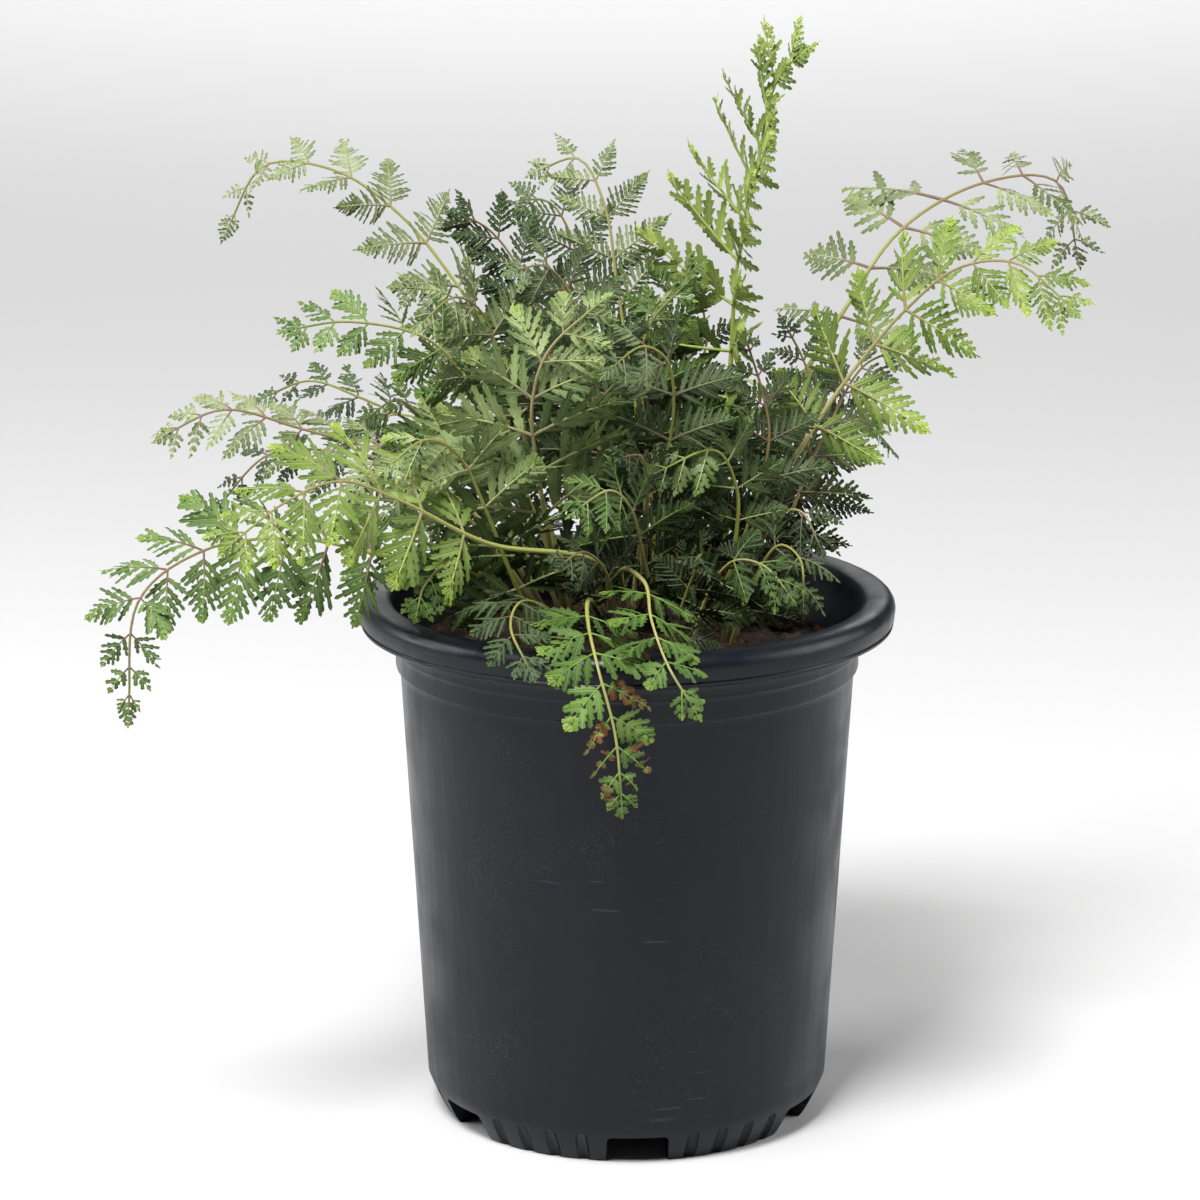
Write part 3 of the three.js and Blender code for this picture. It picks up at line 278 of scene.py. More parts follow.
FRONDS = (
    FrondPlan(
        "tower",
        [(28, 30, 151), (29, 24, 192), (32, 17, 229), (34, 11, 268), (40, 3, 303), (45, -4, 328),
         (52, -9, 338)],
        0.42, 10, 36, 0.23, (-0.76, -0.65, 0.2), lift=42, sag=0.02, taper=0.62, lean=62, stem=1.5,
        tint=Tint.MOSS, wine=0.15,
    ),
    FrondPlan(
        "right_high",
        [(31, 38, 152), (31, 36, 189), (45, 40, 210), (68, 52, 245), (88, 66, 271), (116, 82, 284),
         (141, 95, 282), (149, 102, 256)],
        0.47, 9, 31, 0.24, (-0.3, -0.6, 0.8), lift=4, sag=0.22, taper=0.75, stem=1.3, turn=(-26, -8),
        odd=(3, -1, 1.5, -26), tint=Tint.SILVER, wine=0.8, stalked=0.2,
    ),
    FrondPlan(
        "right_mid",
        [(38, 18, 153), (41, 12, 185), (56, 4, 216), (69, 0, 237), (85, -6, 258), (101, -14, 273),
         (118, -24, 276), (134, -34, 264)],
        0.42, 9, 31, 0.27, (-0.1, -0.7, 0.7), sag=0.2, taper=0.75, stem=1.2, tint=Tint.BRIGHT, wine=0.6,
    ),
    FrondPlan(
        "left_high",
        [(-11, 30, 150), (-24, 38, 195), (-39, 46, 233), (-55, 52, 257), (-72, 58, 277), (-93, 62, 291),
         (-116, 66, 292), (-129, 70, 270)],
        0.38, 10, 29, 0.27, (0.2, -0.5, 0.8), lift=8, sag=0.2, taper=0.95, stem=1.1, tint=Tint.SILVER,
        wine=0.5,
    ),
    FrondPlan(
        "left_upper",
        [(-16, 18, 150), (-31, 18, 193), (-46, 14, 226), (-61, 8, 246), (-86, -2, 254), (-104, -10, 253)],
        0.4, 8, 23, 0.3, (0.1, -0.75, 0.65), sag=0.1, taper=0.7, stem=1.1, tint=Tint.GREEN, wine=0.2,
    ),
    FrondPlan(
        "left_mid",
        [(-21, 6, 150), (-46, 0, 191), (-70, -6, 211), (-101, -14, 223), (-124, -20, 230), (-142, -25, 223)],
        0.4, 9, 24, 0.27, (0.1, -0.6, 0.8), lift=-4, sag=0.3, taper=0.75, tint=Tint.SILVER, wine=0.8,
    ),
    FrondPlan(
        "left_low",
        [(-21, -4, 150), (-40, -12, 171), (-58, -22, 183), (-74, -32, 187), (-99, -48, 196),
         (-126, -66, 197), (-145, -80, 185), (-148, -90, 153)],
        0.42, 10, 27, 0.32, (0.1, -0.75, 0.65), taper=0.92, tint=Tint.GREEN, wine=0.9, stalked=0.1,
    ),
    FrondPlan(
        "left_bright",
        [(4, -6, 150), (-8, -24, 182), (-42, -46, 194), (-68, -66, 212), (-85, -80, 221), (-100, -94, 218),
         (-116, -108, 208)],
        0.5, 7, 30, 0.32, (0.1, -0.7, 0.7), taper=0.75, stem=1.1, tint=Tint.BRIGHT, wine=0.6,
    ),
    FrondPlan(
        "front_mid",
        [(-16, -4, 150), (-23, -18, 182), (-27, -28, 210), (-29, -40, 236), (-24, -44, 253), (-8, -42, 268)],
        0.32, 8, 38, 0.3, (0, -0.95, 0.3), lift=-6, sag=0.22, stem=1.4, tint=Tint.PALE, wine=0.6,
    ),
    FrondPlan(
        "front_left",
        [(-25, -10, 150), (-36, -22, 179), (-43, -30, 200), (-51, -38, 219), (-61, -50, 227),
         (-73, -60, 220)],
        0.3, 7, 30, 0.3, (0, -0.8, 0.6), sag=0.2, stem=1.3, tint=Tint.PALE, wine=0.5,
    ),
    FrondPlan(
        "over_rim",
        [(-8, -12, 150), (-9, -20, 165), (-12, -44, 176), (-12, -70, 175), (-9, -92, 167), (-4, -96, 148),
         (-2, -93, 125)],
        0.5, 8, 19, 0.34, (0.1, -0.8, 0.7), sag=0.05, taper=0.8, tint=Tint.FRESH, wine=0.1, dead=0.14,
        withered=((4, 1), (5, 1), (3, -1)),
    ),
    FrondPlan(
        "over_rim_right",
        [(4, -14, 151), (-2, -24, 180), (5, -46, 182), (7, -76, 177), (12, -96, 168), (19, -99, 157)],
        0.56, 5, 17, 0.36, (0.3, -0.6, 0.8), sag=0.1, taper=0.7, stem=0.9, tint=Tint.FRESH, wine=0.1,
    ),
    FrondPlan(
        "small_bright",
        [(30, 2, 150), (33, -4, 179), (34, -8, 202), (27, -14, 216), (8, -24, 211)],
        0.52, 6, 18, 0.3, (0, -0.8, 0.6), sag=0.15, taper=0.7, tint=Tint.PALE, wine=0.2,
    ),
    FrondPlan(
        "top",
        [(4, 16, 150), (6, 14, 194), (3, 14, 223), (-3, 16, 261), (-7, 22, 286), (-15, 28, 300),
         (-29, 34, 295)],
        0.38, 9, 29, 0.25, (0, -0.9, 0.4), lift=6, sag=0.12, taper=0.85, stem=1.2, tint=Tint.SILVER,
        wine=0.5,
    ),
    FrondPlan(
        "top_dark",
        [(-7, 24, 150), (-17, 28, 204), (-27, 30, 245), (-35, 28, 267), (-44, 24, 279), (-53, 20, 284)],
        0.42, 7, 29, 0.28, (0.2, -0.85, 0.5), lift=6, sag=0.1, taper=0.7, stem=1.1, tint=Tint.DARK, wine=0.6,
    ),
    FrondPlan(
        "top_back",
        [(-1, 36, 149), (-7, 42, 201), (-12, 46, 242), (-18, 48, 273), (-25, 50, 283), (-35, 52, 283)],
        0.42, 7, 30, 0.27, (0, -0.8, 0.6), lift=6, sag=0.12, taper=0.7, stem=1.1, tint=Tint.DEEP, wine=0.5,
    ),
    FrondPlan(
        "upper_left_grey",
        [(-15, 12, 149), (-29, 2, 206), (-38, -8, 240), (-45, -16, 260), (-53, -26, 266), (-63, -36, 259)],
        0.45, 7, 28, 0.28, (0.1, -0.8, 0.6), sag=0.2, tint=Tint.SILVER, wine=0.6,
    ),
    FrondPlan(
        "centre_grey",
        [(-5, 10, 149), (-8, 0, 207), (-12, -10, 240), (-17, -18, 264), (-25, -28, 276), (-35, -38, 276)],
        0.45, 7, 30, 0.28, (0, -0.85, 0.5), lift=-4, sag=0.2, stem=1.1, tint=Tint.GREY, wine=0.6,
    ),
    FrondPlan(
        "centre_right",
        [(7, 2, 151), (10, -10, 199), (14, -20, 230), (12, -30, 247), (4, -42, 254), (-6, -54, 249)],
        0.42, 6, 28, 0.28, (0, -0.85, 0.5), sag=0.2, tint=Tint.GREY, wine=0.5,
    ),
    FrondPlan(
        "mid",
        [(11, 8, 150), (9, 4, 183), (5, 0, 223), (6, -6, 252), (18, -12, 268)],
        0.32, 7, 31, 0.26, (0, -0.95, 0.3), lift=4, sag=0.18, stem=1.2, tint=Tint.GREEN, wine=0.4,
    ),
    FrondPlan(
        "mid_dark",
        [(9, 32, 149), (9, 40, 191), (15, 42, 222), (25, 40, 237), (23, 38, 257)],
        0.36, 6, 30, 0.28, (0, -0.9, 0.5), lift=4, sag=0.14, tint=Tint.DARK, wine=0.7,
    ),
    FrondPlan(
        "right_grey",
        [(23, 6, 150), (36, 0, 184), (44, -2, 217), (42, -4, 231), (36, -8, 251)],
        0.34, 7, 26, 0.27, (0, -0.95, 0.3), sag=0.18, tint=Tint.GREY, wine=0.9,
    ),
    FrondPlan(
        "right_dark",
        [(30, 22, 150), (46, 28, 184), (59, 32, 214), (57, 34, 232), (50, 38, 246)],
        0.38, 7, 26, 0.27, (0, -0.9, 0.4), sag=0.15, tint=Tint.DARK, wine=0.7,
    ),
    FrondPlan(
        "right_low",
        [(34, 8, 150), (41, 6, 178), (47, 2, 192), (54, -2, 194), (60, -8, 184)],
        0.32, 6, 19, 0.28, (0.2, -0.8, 0.6), sag=0.3, taper=0.7, tint=Tint.DEEP, wine=0.5,
    ),
    FrondPlan(
        "right_rim",
        [(32, -4, 150), (39, -12, 174), (47, -18, 187), (53, -24, 184), (54, -30, 171)],
        0.34, 5, 19, 0.3, (0.2, -0.8, 0.6), sag=0.3, taper=0.7, stem=0.9, tint=Tint.GREY, wine=0.4,
    ),
    FrondPlan(
        "low_right",
        [(20, -8, 151), (26, -18, 174), (33, -26, 184), (42, -34, 184), (49, -40, 177)],
        0.36, 5, 18, 0.3, (0.1, -0.8, 0.6), sag=0.25, taper=0.7, stem=0.9, tint=Tint.GREEN, wine=0.3,
    ),
    FrondPlan(
        "low_centre",
        [(12, -8, 150), (5, -20, 183), (1, -34, 202), (-6, -48, 211), (-16, -58, 207)],
        0.42, 6, 22, 0.3, (0, -0.8, 0.6), sag=0.2, taper=0.7, tint=Tint.GREEN, wine=0.3,
    ),
    FrondPlan(
        "left_back",
        [(-20, 32, 150), (-47, 34, 199), (-66, 36, 213), (-85, 38, 222), (-101, 40, 227), (-116, 42, 221)],
        0.42, 8, 22, 0.3, (0.2, -0.6, 0.8), sag=0.12, stem=0.9, tint=Tint.DEEP, wine=0.4,
    ),
    FrondPlan(
        "left_dark",
        [(-24, 12, 150), (-49, 10, 188), (-71, 8, 205), (-93, 8, 211), (-112, 8, 210), (-130, 8, 191)],
        0.36, 8, 21, 0.26, (0.2, -0.6, 0.8), sag=0.3, stem=0.9, tint=Tint.DARK, wine=0.7,
    ),
    FrondPlan(
        "left_fill",
        [(-25, 24, 150), (-43, 26, 191), (-59, 26, 211), (-72, 24, 224), (-83, 20, 218)],
        0.36, 6, 24, 0.3, (0.2, -0.7, 0.7), sag=0.2, tint=Tint.GREEN, wine=0.5,
    ),
    FrondPlan(
        "rim_grey",
        [(-19, -18, 151), (-22, -24, 165), (-32, -50, 177), (-35, -76, 175), (-29, -94, 167)],
        0.42, 5, 17, 0.34, (0, -0.6, 0.8), sag=0.2, taper=0.7, stem=0.9, tint=Tint.DEEP, wine=0.4,
    ),
    FrondPlan(
        "rim_left",
        [(-26, 2, 150), (-49, -8, 178), (-66, -12, 187), (-78, -16, 184), (-84, -20, 176)],
        0.42, 5, 18, 0.32, (0.2, -0.7, 0.7), sag=0.3, taper=0.7, stem=0.9, tint=Tint.GREEN, wine=0.4,
    ),
    FrondPlan(
        "rim_green",
        [(-31, -6, 150), (-44, -20, 176), (-56, -30, 183), (-62, -38, 179), (-64, -46, 173)],
        0.42, 5, 16, 0.32, (0.2, -0.7, 0.7), sag=0.2, taper=0.7, stem=0.9, tint=Tint.FRESH, wine=0.3,
    ),
    FrondPlan(
        "back_left",
        [(-8, 42, 150), (-18, 56, 191), (-33, 74, 217), (-54, 92, 227), (-74, 105, 218)],
        0.38, 7, 31, 0.3, (0.3, -0.4, 0.9), stem=1.1, tint=Tint.SILVER, wine=0.6,
    ),
    FrondPlan(
        "back",
        [(1, 48, 150), (-1, 66, 189), (-5, 84, 215), (-9, 98, 231), (-12, 108, 226)],
        0.38, 7, 31, 0.3, (0, -0.4, 0.9), stem=1.1, tint=Tint.GREEN, wine=0.5,
    ),
    FrondPlan(
        "back_right",
        [(11, 44, 150), (20, 60, 187), (32, 78, 206), (48, 94, 212), (58, 105, 202)],
        0.38, 7, 31, 0.3, (-0.3, -0.4, 0.9), stem=1.1, tint=Tint.PALE, wine=0.5,
    ),
    FrondPlan(
        "right_back",
        [(24, 44, 150), (38, 58, 187), (52, 72, 211), (61, 86, 221), (70, 98, 212)],
        0.38, 6, 27, 0.3, (-0.3, -0.4, 0.9), tint=Tint.GREY, wine=0.7,
    ),
    FrondPlan(
        "back_low_left",
        [(-13, 50, 150), (-24, 62, 170), (-38, 76, 178), (-54, 88, 172)],
        0.34, 5, 20, 0.32, (0.3, -0.3, 0.9), sag=0.2, taper=0.7, stem=0.9, tint=Tint.DEEP, wine=0.4,
    ),
    FrondPlan(
        "back_low_right",
        [(17, 52, 150), (28, 62, 170), (42, 74, 178), (58, 86, 170)],
        0.34, 5, 20, 0.32, (-0.3, -0.3, 0.9), sag=0.2, taper=0.7, stem=0.9, tint=Tint.GREEN, wine=0.4,
    ),
    FrondPlan(
        "low_dark",
        [(12, -20, 149), (16, -28, 168), (20, -36, 182), (22, -44, 190), (20, -52, 190)],
        0.36, 6, 18, 0.3, (0, -0.8, 0.6), sag=0.2, taper=0.7, stem=0.9, tint=Tint.DARK, wine=0.4,
    ),
    FrondPlan(
        "low_grey",
        [(-2, -21, 149), (-4, -30, 172), (-8, -40, 186), (-14, -48, 192), (-20, -56, 190)],
        0.36, 6, 19, 0.3, (0, -0.8, 0.6), sag=0.2, taper=0.7, stem=0.9, tint=Tint.DEEP, wine=0.5,
    ),
    FrondPlan(
        "mid_inner",
        [(1, -2, 150), (3, -12, 180), (6, -22, 205), (4, -32, 218), (-2, -42, 220)],
        0.4, 7, 23, 0.28, (0, -0.85, 0.5), sag=0.2, taper=0.8, tint=Tint.DARK, wine=0.5,
    ),
    FrondPlan(
        "right_inner",
        [(18, 15, 150), (26, 10, 185), (33, 4, 212), (37, -6, 227), (34, -18, 230)],
        0.4, 7, 24, 0.28, (0, -0.85, 0.5), sag=0.2, taper=0.8, tint=Tint.GREEN, wine=0.7,
    ),
    FrondPlan(
        "upper_gap",
        [(17, 25, 150), (13, 22, 200), (11, 18, 240), (14, 12, 262), (22, 6, 270)],
        0.4, 7, 27, 0.27, (0, -0.9, 0.4), lift=4, sag=0.16, taper=0.8, tint=Tint.GREEN, wine=0.6,
    ),
    FrondPlan(
        "right_fill",
        [(42, 27, 149), (52, 21, 188), (63, 18, 216), (74, 18, 236), (84, 14, 242)],
        0.4, 7, 24, 0.28, (0, -0.8, 0.6), lift=4, sag=0.18, taper=0.8, tint=Tint.SILVER, wine=0.7,
    ),
    FrondPlan(
        "top_left",
        [(-29, 38, 149), (-37, 43, 200), (-48, 42, 236), (-60, 40, 255), (-72, 36, 258)],
        0.42, 7, 25, 0.28, (0.2, -0.75, 0.6), lift=4, sag=0.16, taper=0.8, tint=Tint.SILVER, wine=0.5,
    ),
    FrondPlan(
        "back_mid",
        [(6, 57, 149), (4, 66, 190), (8, 78, 220), (14, 88, 236), (22, 96, 236)],
        0.38, 7, 27, 0.3, (0, -0.4, 0.9), tint=Tint.SILVER, wine=0.6,
    ),
    FrondPlan(
        "back_far_right",
        [(35, 53, 149), (46, 60, 184), (60, 70, 203), (76, 80, 206), (88, 88, 194)],
        0.36, 7, 25, 0.3, (-0.3, -0.3, 0.9), tint=Tint.GREEN, wine=0.6,
    ),
    FrondPlan(
        "back_far_left",
        [(-29, 49, 149), (-44, 56, 188), (-62, 66, 207), (-80, 76, 208), (-92, 84, 196)],
        0.38, 7, 25, 0.3, (0.3, -0.3, 0.9), tint=Tint.PALE, wine=0.6,
    ),
)


class FrondLine:
    """The run of one frond's stalk and midrib, and the directions along it."""

    ROOT_DEPTH: ClassVar[float] = 22
    ROOT_GATHER: ClassVar[float] = 0.8
    TIP_HALF_WIDTH: ClassVar[float] = 0.5
    SPACING_POWER: ClassVar[float] = 1.35
    LOWEST_LEAFLET: ClassVar[float] = 0.75
    LEAFLET_GAIN: ClassVar[float] = 1.2
    TAPER_POWER: ClassVar[float] = 2.2

    def __init__(self, plan: FrondPlan) -> None:
        """Lays the line from its root under the soil to its tip."""
        self.plan = plan
        places = np.array(plan.path, float)
        gather = np.array([self.ROOT_GATHER, self.ROOT_GATHER, 1.0])
        root = places[0] * gather - UP * self.ROOT_DEPTH
        self.sweep = Sweep(np.vstack([root, places]))
        self.face = unit(np.array(plan.face, float))

    def frame(self, share: float) -> tuple[np.ndarray, np.ndarray, np.ndarray, np.ndarray]:
        """Gives the place and the unit vectors along, up and across at a share of the length.

        Args:
            share: From 0 at the root to 1 at the tip.

        Returns:
            The place, along, up from the upper side, and across.
        """
        along = self.sweep.along(share)
        up = unit(self.face - along * float(self.face @ along))
        return self.sweep.at(share), along, up, np.cross(along, up)

    def half_width(self, share: float) -> float:
        """Gives half the width of the solid stalk at a share of the length."""
        return self.plan.stem + (self.TIP_HALF_WIDTH - self.plan.stem) * share

    def pair(self, number: float) -> tuple[float, float]:
        """Says where a pair grows, as a share of the blade and of the whole length."""
        even = (number + 0.5) / (self.plan.pairs + 0.5)
        blade = 1 - (1 - even) ** self.SPACING_POWER
        return blade, self.plan.bare + (1 - self.plan.bare) * blade

    def leaflet_length(self, blade: float) -> float:
        """Gives a leaflet's length at a share of the blade, before any draw."""
        grown = min(1.0, self.LOWEST_LEAFLET + self.LEAFLET_GAIN * blade)
        return self.plan.reach * grown * (1 - self.plan.taper * blade**self.TAPER_POWER)


@dataclass(frozen=True)
class Bend:
    """One way in which a leaflet passes clear of its neighbours.

    share shortens it, and tilt and turn move it up and towards the tip, in degrees.
    """

    share: float
    tilt: float
    turn: float


BENDS = tuple(
    Bend(share, tilt, turn)
    for share in (1, 0.8, 0.62, 0.46)
    for tilt in (0, 14, -14, 28, -28, 42, -42, 58, -58)
    for turn in (0, 15, -15)
)


@dataclass(frozen=True)
class Leaflet:
    """The middle line of one leaflet and the directions along it, in millimetres and degrees."""

    place: np.ndarray
    way: np.ndarray
    along: np.ndarray
    up: np.ndarray
    side: int
    length: float
    sag: float
    curl: float = 0.1
    LOWEST_SLANT: ClassVar[float] = 16
    LENGTH_DRAW: ClassVar[float] = 0.16
    SLANT_DRAW: ClassVar[float] = 10
    LIFT_DRAW: ClassVar[float] = 14
    SOLID_HALF: ClassVar[float] = 0.375

    @classmethod
    def grown(
        cls, line: FrondLine, number: int, side: int, chance: Sequence[float], bend: Bend
    ) -> "Leaflet":
        """Grows a leaflet as the solid one was grown.

        Args:
            line: The frond's line.
            number: Which pair, counted from the lowest.
            side: -1 for left, 1 for right.
            chance: Three draws, for its length, slant and lift.
            bend: How it passes clear of what is near.

        Returns:
            The leaflet.
        """
        plan = line.plan
        blade, share = line.pair(number)
        place, along, up, across = line.frame(share)
        odd_pair, odd_side, times, odd_turn = plan.odd
        is_odd = odd_pair == number and odd_side == side
        longer, slanted, lifted = (draw - 0.5 for draw in chance)
        length = line.leaflet_length(blade) * (1 + cls.LENGTH_DRAW * longer) * bend.share
        turn = bend.turn + plan.turn[side > 0]
        if is_odd:
            length *= times
            turn += odd_turn
        slant = cls.LOWEST_SLANT + (plan.lean - cls.LOWEST_SLANT) * blade
        sweep = math.radians(slant + cls.SLANT_DRAW * slanted + turn)
        lift = math.radians(plan.lift + cls.LIFT_DRAW * lifted + bend.tilt)
        outward = across * side * math.cos(lift) + up * math.sin(lift)
        way = outward * math.cos(sweep) + along * math.sin(sweep)
        return cls(place, way, along, up, side, length, plan.sag)

    def middle(self, out: np.ndarray) -> np.ndarray:
        """Gives the places of the middle line at shares of the length."""
        share = np.asarray(out, float)[..., None]
        drawn = self.way * share + (self.along * self.curl - UP * self.sag) * share**2
        return self.place + drawn * self.length

    def frame(self, out: np.ndarray) -> tuple[np.ndarray, np.ndarray, np.ndarray]:
        """Gives the unit vectors along the leaflet, towards the frond's tip, and up from its face."""
        share = np.asarray(out, float)[..., None]
        run = unit(self.way + (self.along * self.curl - UP * self.sag) * 2 * share)
        wide = unit(np.cross(self.up, run) * self.side)
        normal = np.cross(run, wide) * self.side
        return run, wide, normal

    def apexes(self) -> np.ndarray:
        """Gives the two points where the solid leaflet ends, on its upper and its lower face."""
        tip = self.middle(np.array(1.0))
        normal = self.frame(np.array(1.0))[2] * self.SOLID_HALF
        return np.array([tip + normal, tip - normal])


class SolidFrond:
    """What the frond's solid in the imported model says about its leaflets."""

    FIRST_SEED: ClassVar[int] = 1000
    SEED_STEP: ClassVar[int] = 37
    NEAR: ClassVar[float] = 0.03
    DECIMALS: ClassVar[int] = 4

    def __init__(self, line: FrondLine, index: int) -> None:
        """Reads the solid's points.

        Args:
            line: The frond's line.
            index: The frond's place in the list of fronds.
        """
        self.line = line
        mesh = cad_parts[f"frond_{line.plan.name}"].data
        points = np.zeros(len(mesh.vertices) * 3)
        mesh.vertices.foreach_get("co", points)
        self.points = np.unique(np.round(points.reshape(-1, 3) / MM, self.DECIMALS), axis=0)
        self.draws = Draws(self.FIRST_SEED + self.SEED_STEP * index)

    def _has(self, apexes: np.ndarray) -> bool:
        """Tells whether the solid has a point at each of the given places."""
        gaps = np.linalg.norm(self.points[None] - apexes[:, None], axis=2).min(axis=1)
        return bool(gaps.max() < self.NEAR)

    def leaflets(self) -> list[tuple[int, Leaflet]]:
        """Finds the leaflets of the solid, each bent as it was there.

        Returns:
            The pair number and the leaflet, from the lowest pair up.
        """
        found = []
        for number in range(self.line.plan.pairs):
            for side in (-1, 1):
                chance = [self.draws.next() for _ in range(3)]
                for bend in BENDS:
                    leaflet = Leaflet.grown(self.line, number, side, chance, bend)
                    if self._has(leaflet.apexes()):
                        found.append((number, leaflet))
                        break
                else:
                    LOG.warning("frond %s has no leaflet %d on side %d", self.line.plan.name, number, side)
        return found


@dataclass(frozen=True)
class Cut:
    """How finely the leaflets of a frond are cut.

    spacing is the step from one pinnule to the next as a share of the leaflet, never under least
    millimetres; teeth is the most on one side of a pinnule; fullness is a pinnule's width as a share
    of its room; slant is how far it leans to the leaflet's tip, in degrees; join is how wide it
    stands on the rib, as a share of its width; stoutest is the most that half its width is, as a
    share of its length.
    """

    spacing: float
    least: float
    teeth: int
    fullness: float
    slant: float
    join: float
    stoutest: float


class Habit(Enum):
    """The ways in which leaflets are cut."""

    COMB = Cut(0.074, 1.5, 3, 1.12, 28, 0.95, 0.4)
    LACY = Cut(0.105, 1.7, 4, 1.3, 36, 0.95, 0.42)
    BROAD = Cut(0.13, 2.0, 4, 1.42, 42, 1.0, 0.5)
    LOBED = Cut(0.17, 2.6, 4, 1.7, 42, 1.1, 0.6)


HABITS = {
    Habit.COMB: {"top", "left_high", "right_dark", "top_back"},
    Habit.BROAD: {"left_bright", "left_low", "front_left", "left_upper", "rim_grey", "tower", "front_mid"},
    Habit.LOBED: {"over_rim", "over_rim_right", "small_bright", "rim_green", "rim_left", "low_right"},
}


def habit_of(name: str) -> Cut:
    """Gives the cut of a frond's leaflets, which are lacy where nothing else is named."""
    named = [habit for habit, names in HABITS.items() if name in names]
    return (named or [Habit.LACY])[0].value


class Bench:
    """The hand work that several pieces share."""

    @staticmethod
    def clear() -> None:
        """Leaves edit mode with nothing selected."""
        if bpy.context.object and bpy.context.object.mode != "OBJECT":
            bpy.ops.object.mode_set(mode="OBJECT")
        bpy.ops.object.select_all(action="DESELECT")

    @staticmethod
    def pick(piece: bpy.types.Object) -> None:
        """Makes one piece the only selected one."""
        Bench.clear()
        piece.select_set(True)
        bpy.context.view_layer.objects.active = piece

    @staticmethod
    def edit_all() -> None:
        """Enters edit mode with everything selected."""
        bpy.ops.object.mode_set(mode="EDIT")
        bpy.ops.mesh.select_all(action="SELECT")

    @staticmethod
    def settle() -> bpy.types.Object:
        """Applies the place, turn and scale of the active piece and gives it."""
        bpy.ops.object.transform_apply(location=True, rotation=True, scale=True)
        return bpy.context.object

    @staticmethod
    def extrude(shift: Sequence[float], scale: Sequence[float]) -> None:
        """Extrudes what is selected and scales the new end about the origin.

        Args:
            shift: How far the new end moves, in metres.
            scale: How much it is scaled along each axis.
        """
        bpy.ops.mesh.extrude_region_move(TRANSFORM_OT_translate={"value": shift})
        bpy.ops.transform.resize(value=scale, center_override=(0, 0, 0))

    @staticmethod
    def turned(name: str, profile: Sequence[Span], sides: int) -> bpy.types.Object:
        """Draws a round piece out of a disc, ring by ring.

        Args:
            name: The piece's name.
            profile: Radius and height of each ring, in millimetres, from the first disc to the last.
            sides: How many sides a ring has.

        Returns:
            The closed piece.
        """
        Bench.clear()
        radius, height = profile[0]
        bpy.ops.mesh.primitive_circle_add(
            vertices=sides, radius=radius * MM, fill_type="NGON", location=(0, 0, height * MM)
        )
        piece = Bench.settle()
        piece.name = name
        piece.data.name = name
        Bench.edit_all()
        for next_radius, next_height in profile[1:]:
            growth = next_radius / radius
            Bench.extrude((0, 0, (next_height - height) * MM), (growth, growth, 1))
            radius, height = next_radius, next_height
        bpy.ops.mesh.select_all(action="SELECT")
        bpy.ops.mesh.normals_make_consistent(inside=False)
        bpy.ops.object.mode_set(mode="OBJECT")
        return piece

    @staticmethod
    def cut(piece: bpy.types.Object, cutters: Sequence[bpy.types.Object]) -> None:
        """Takes the cutters out of a piece and throws them away."""
        Bench.clear()
        for cutter in cutters:
            cutter.select_set(True)
        bpy.context.view_layer.objects.active = cutters[0]
        bpy.ops.object.join()
        tool = bpy.context.object
        Bench.pick(piece)
        modifier = piece.modifiers.new("cut", "BOOLEAN")
        modifier.operation = "DIFFERENCE"
        modifier.solver = "EXACT"
        modifier.object = tool
        bpy.ops.object.modifier_apply(modifier=modifier.name)
        bpy.data.objects.remove(tool)

    @staticmethod
    def smooth_shade(piece: bpy.types.Object, degrees: float) -> None:
        """Shades a piece smooth, but for the edges that turn by more than an angle."""
        Bench.pick(piece)
        bpy.ops.object.shade_smooth_by_angle(angle=math.radians(degrees))

    @staticmethod
    def finish(piece: bpy.types.Object, material: bpy.types.Material, slot: str, node: str) -> None:
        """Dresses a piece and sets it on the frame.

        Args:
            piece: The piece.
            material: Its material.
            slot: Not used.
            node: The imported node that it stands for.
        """
        piece.data.materials.clear()
        piece.data.materials.append(material)
        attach(piece, "root")
        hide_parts(node)
        LOG.info("%s: %d faces, for %s", piece.name, len(piece.data.polygons), node)


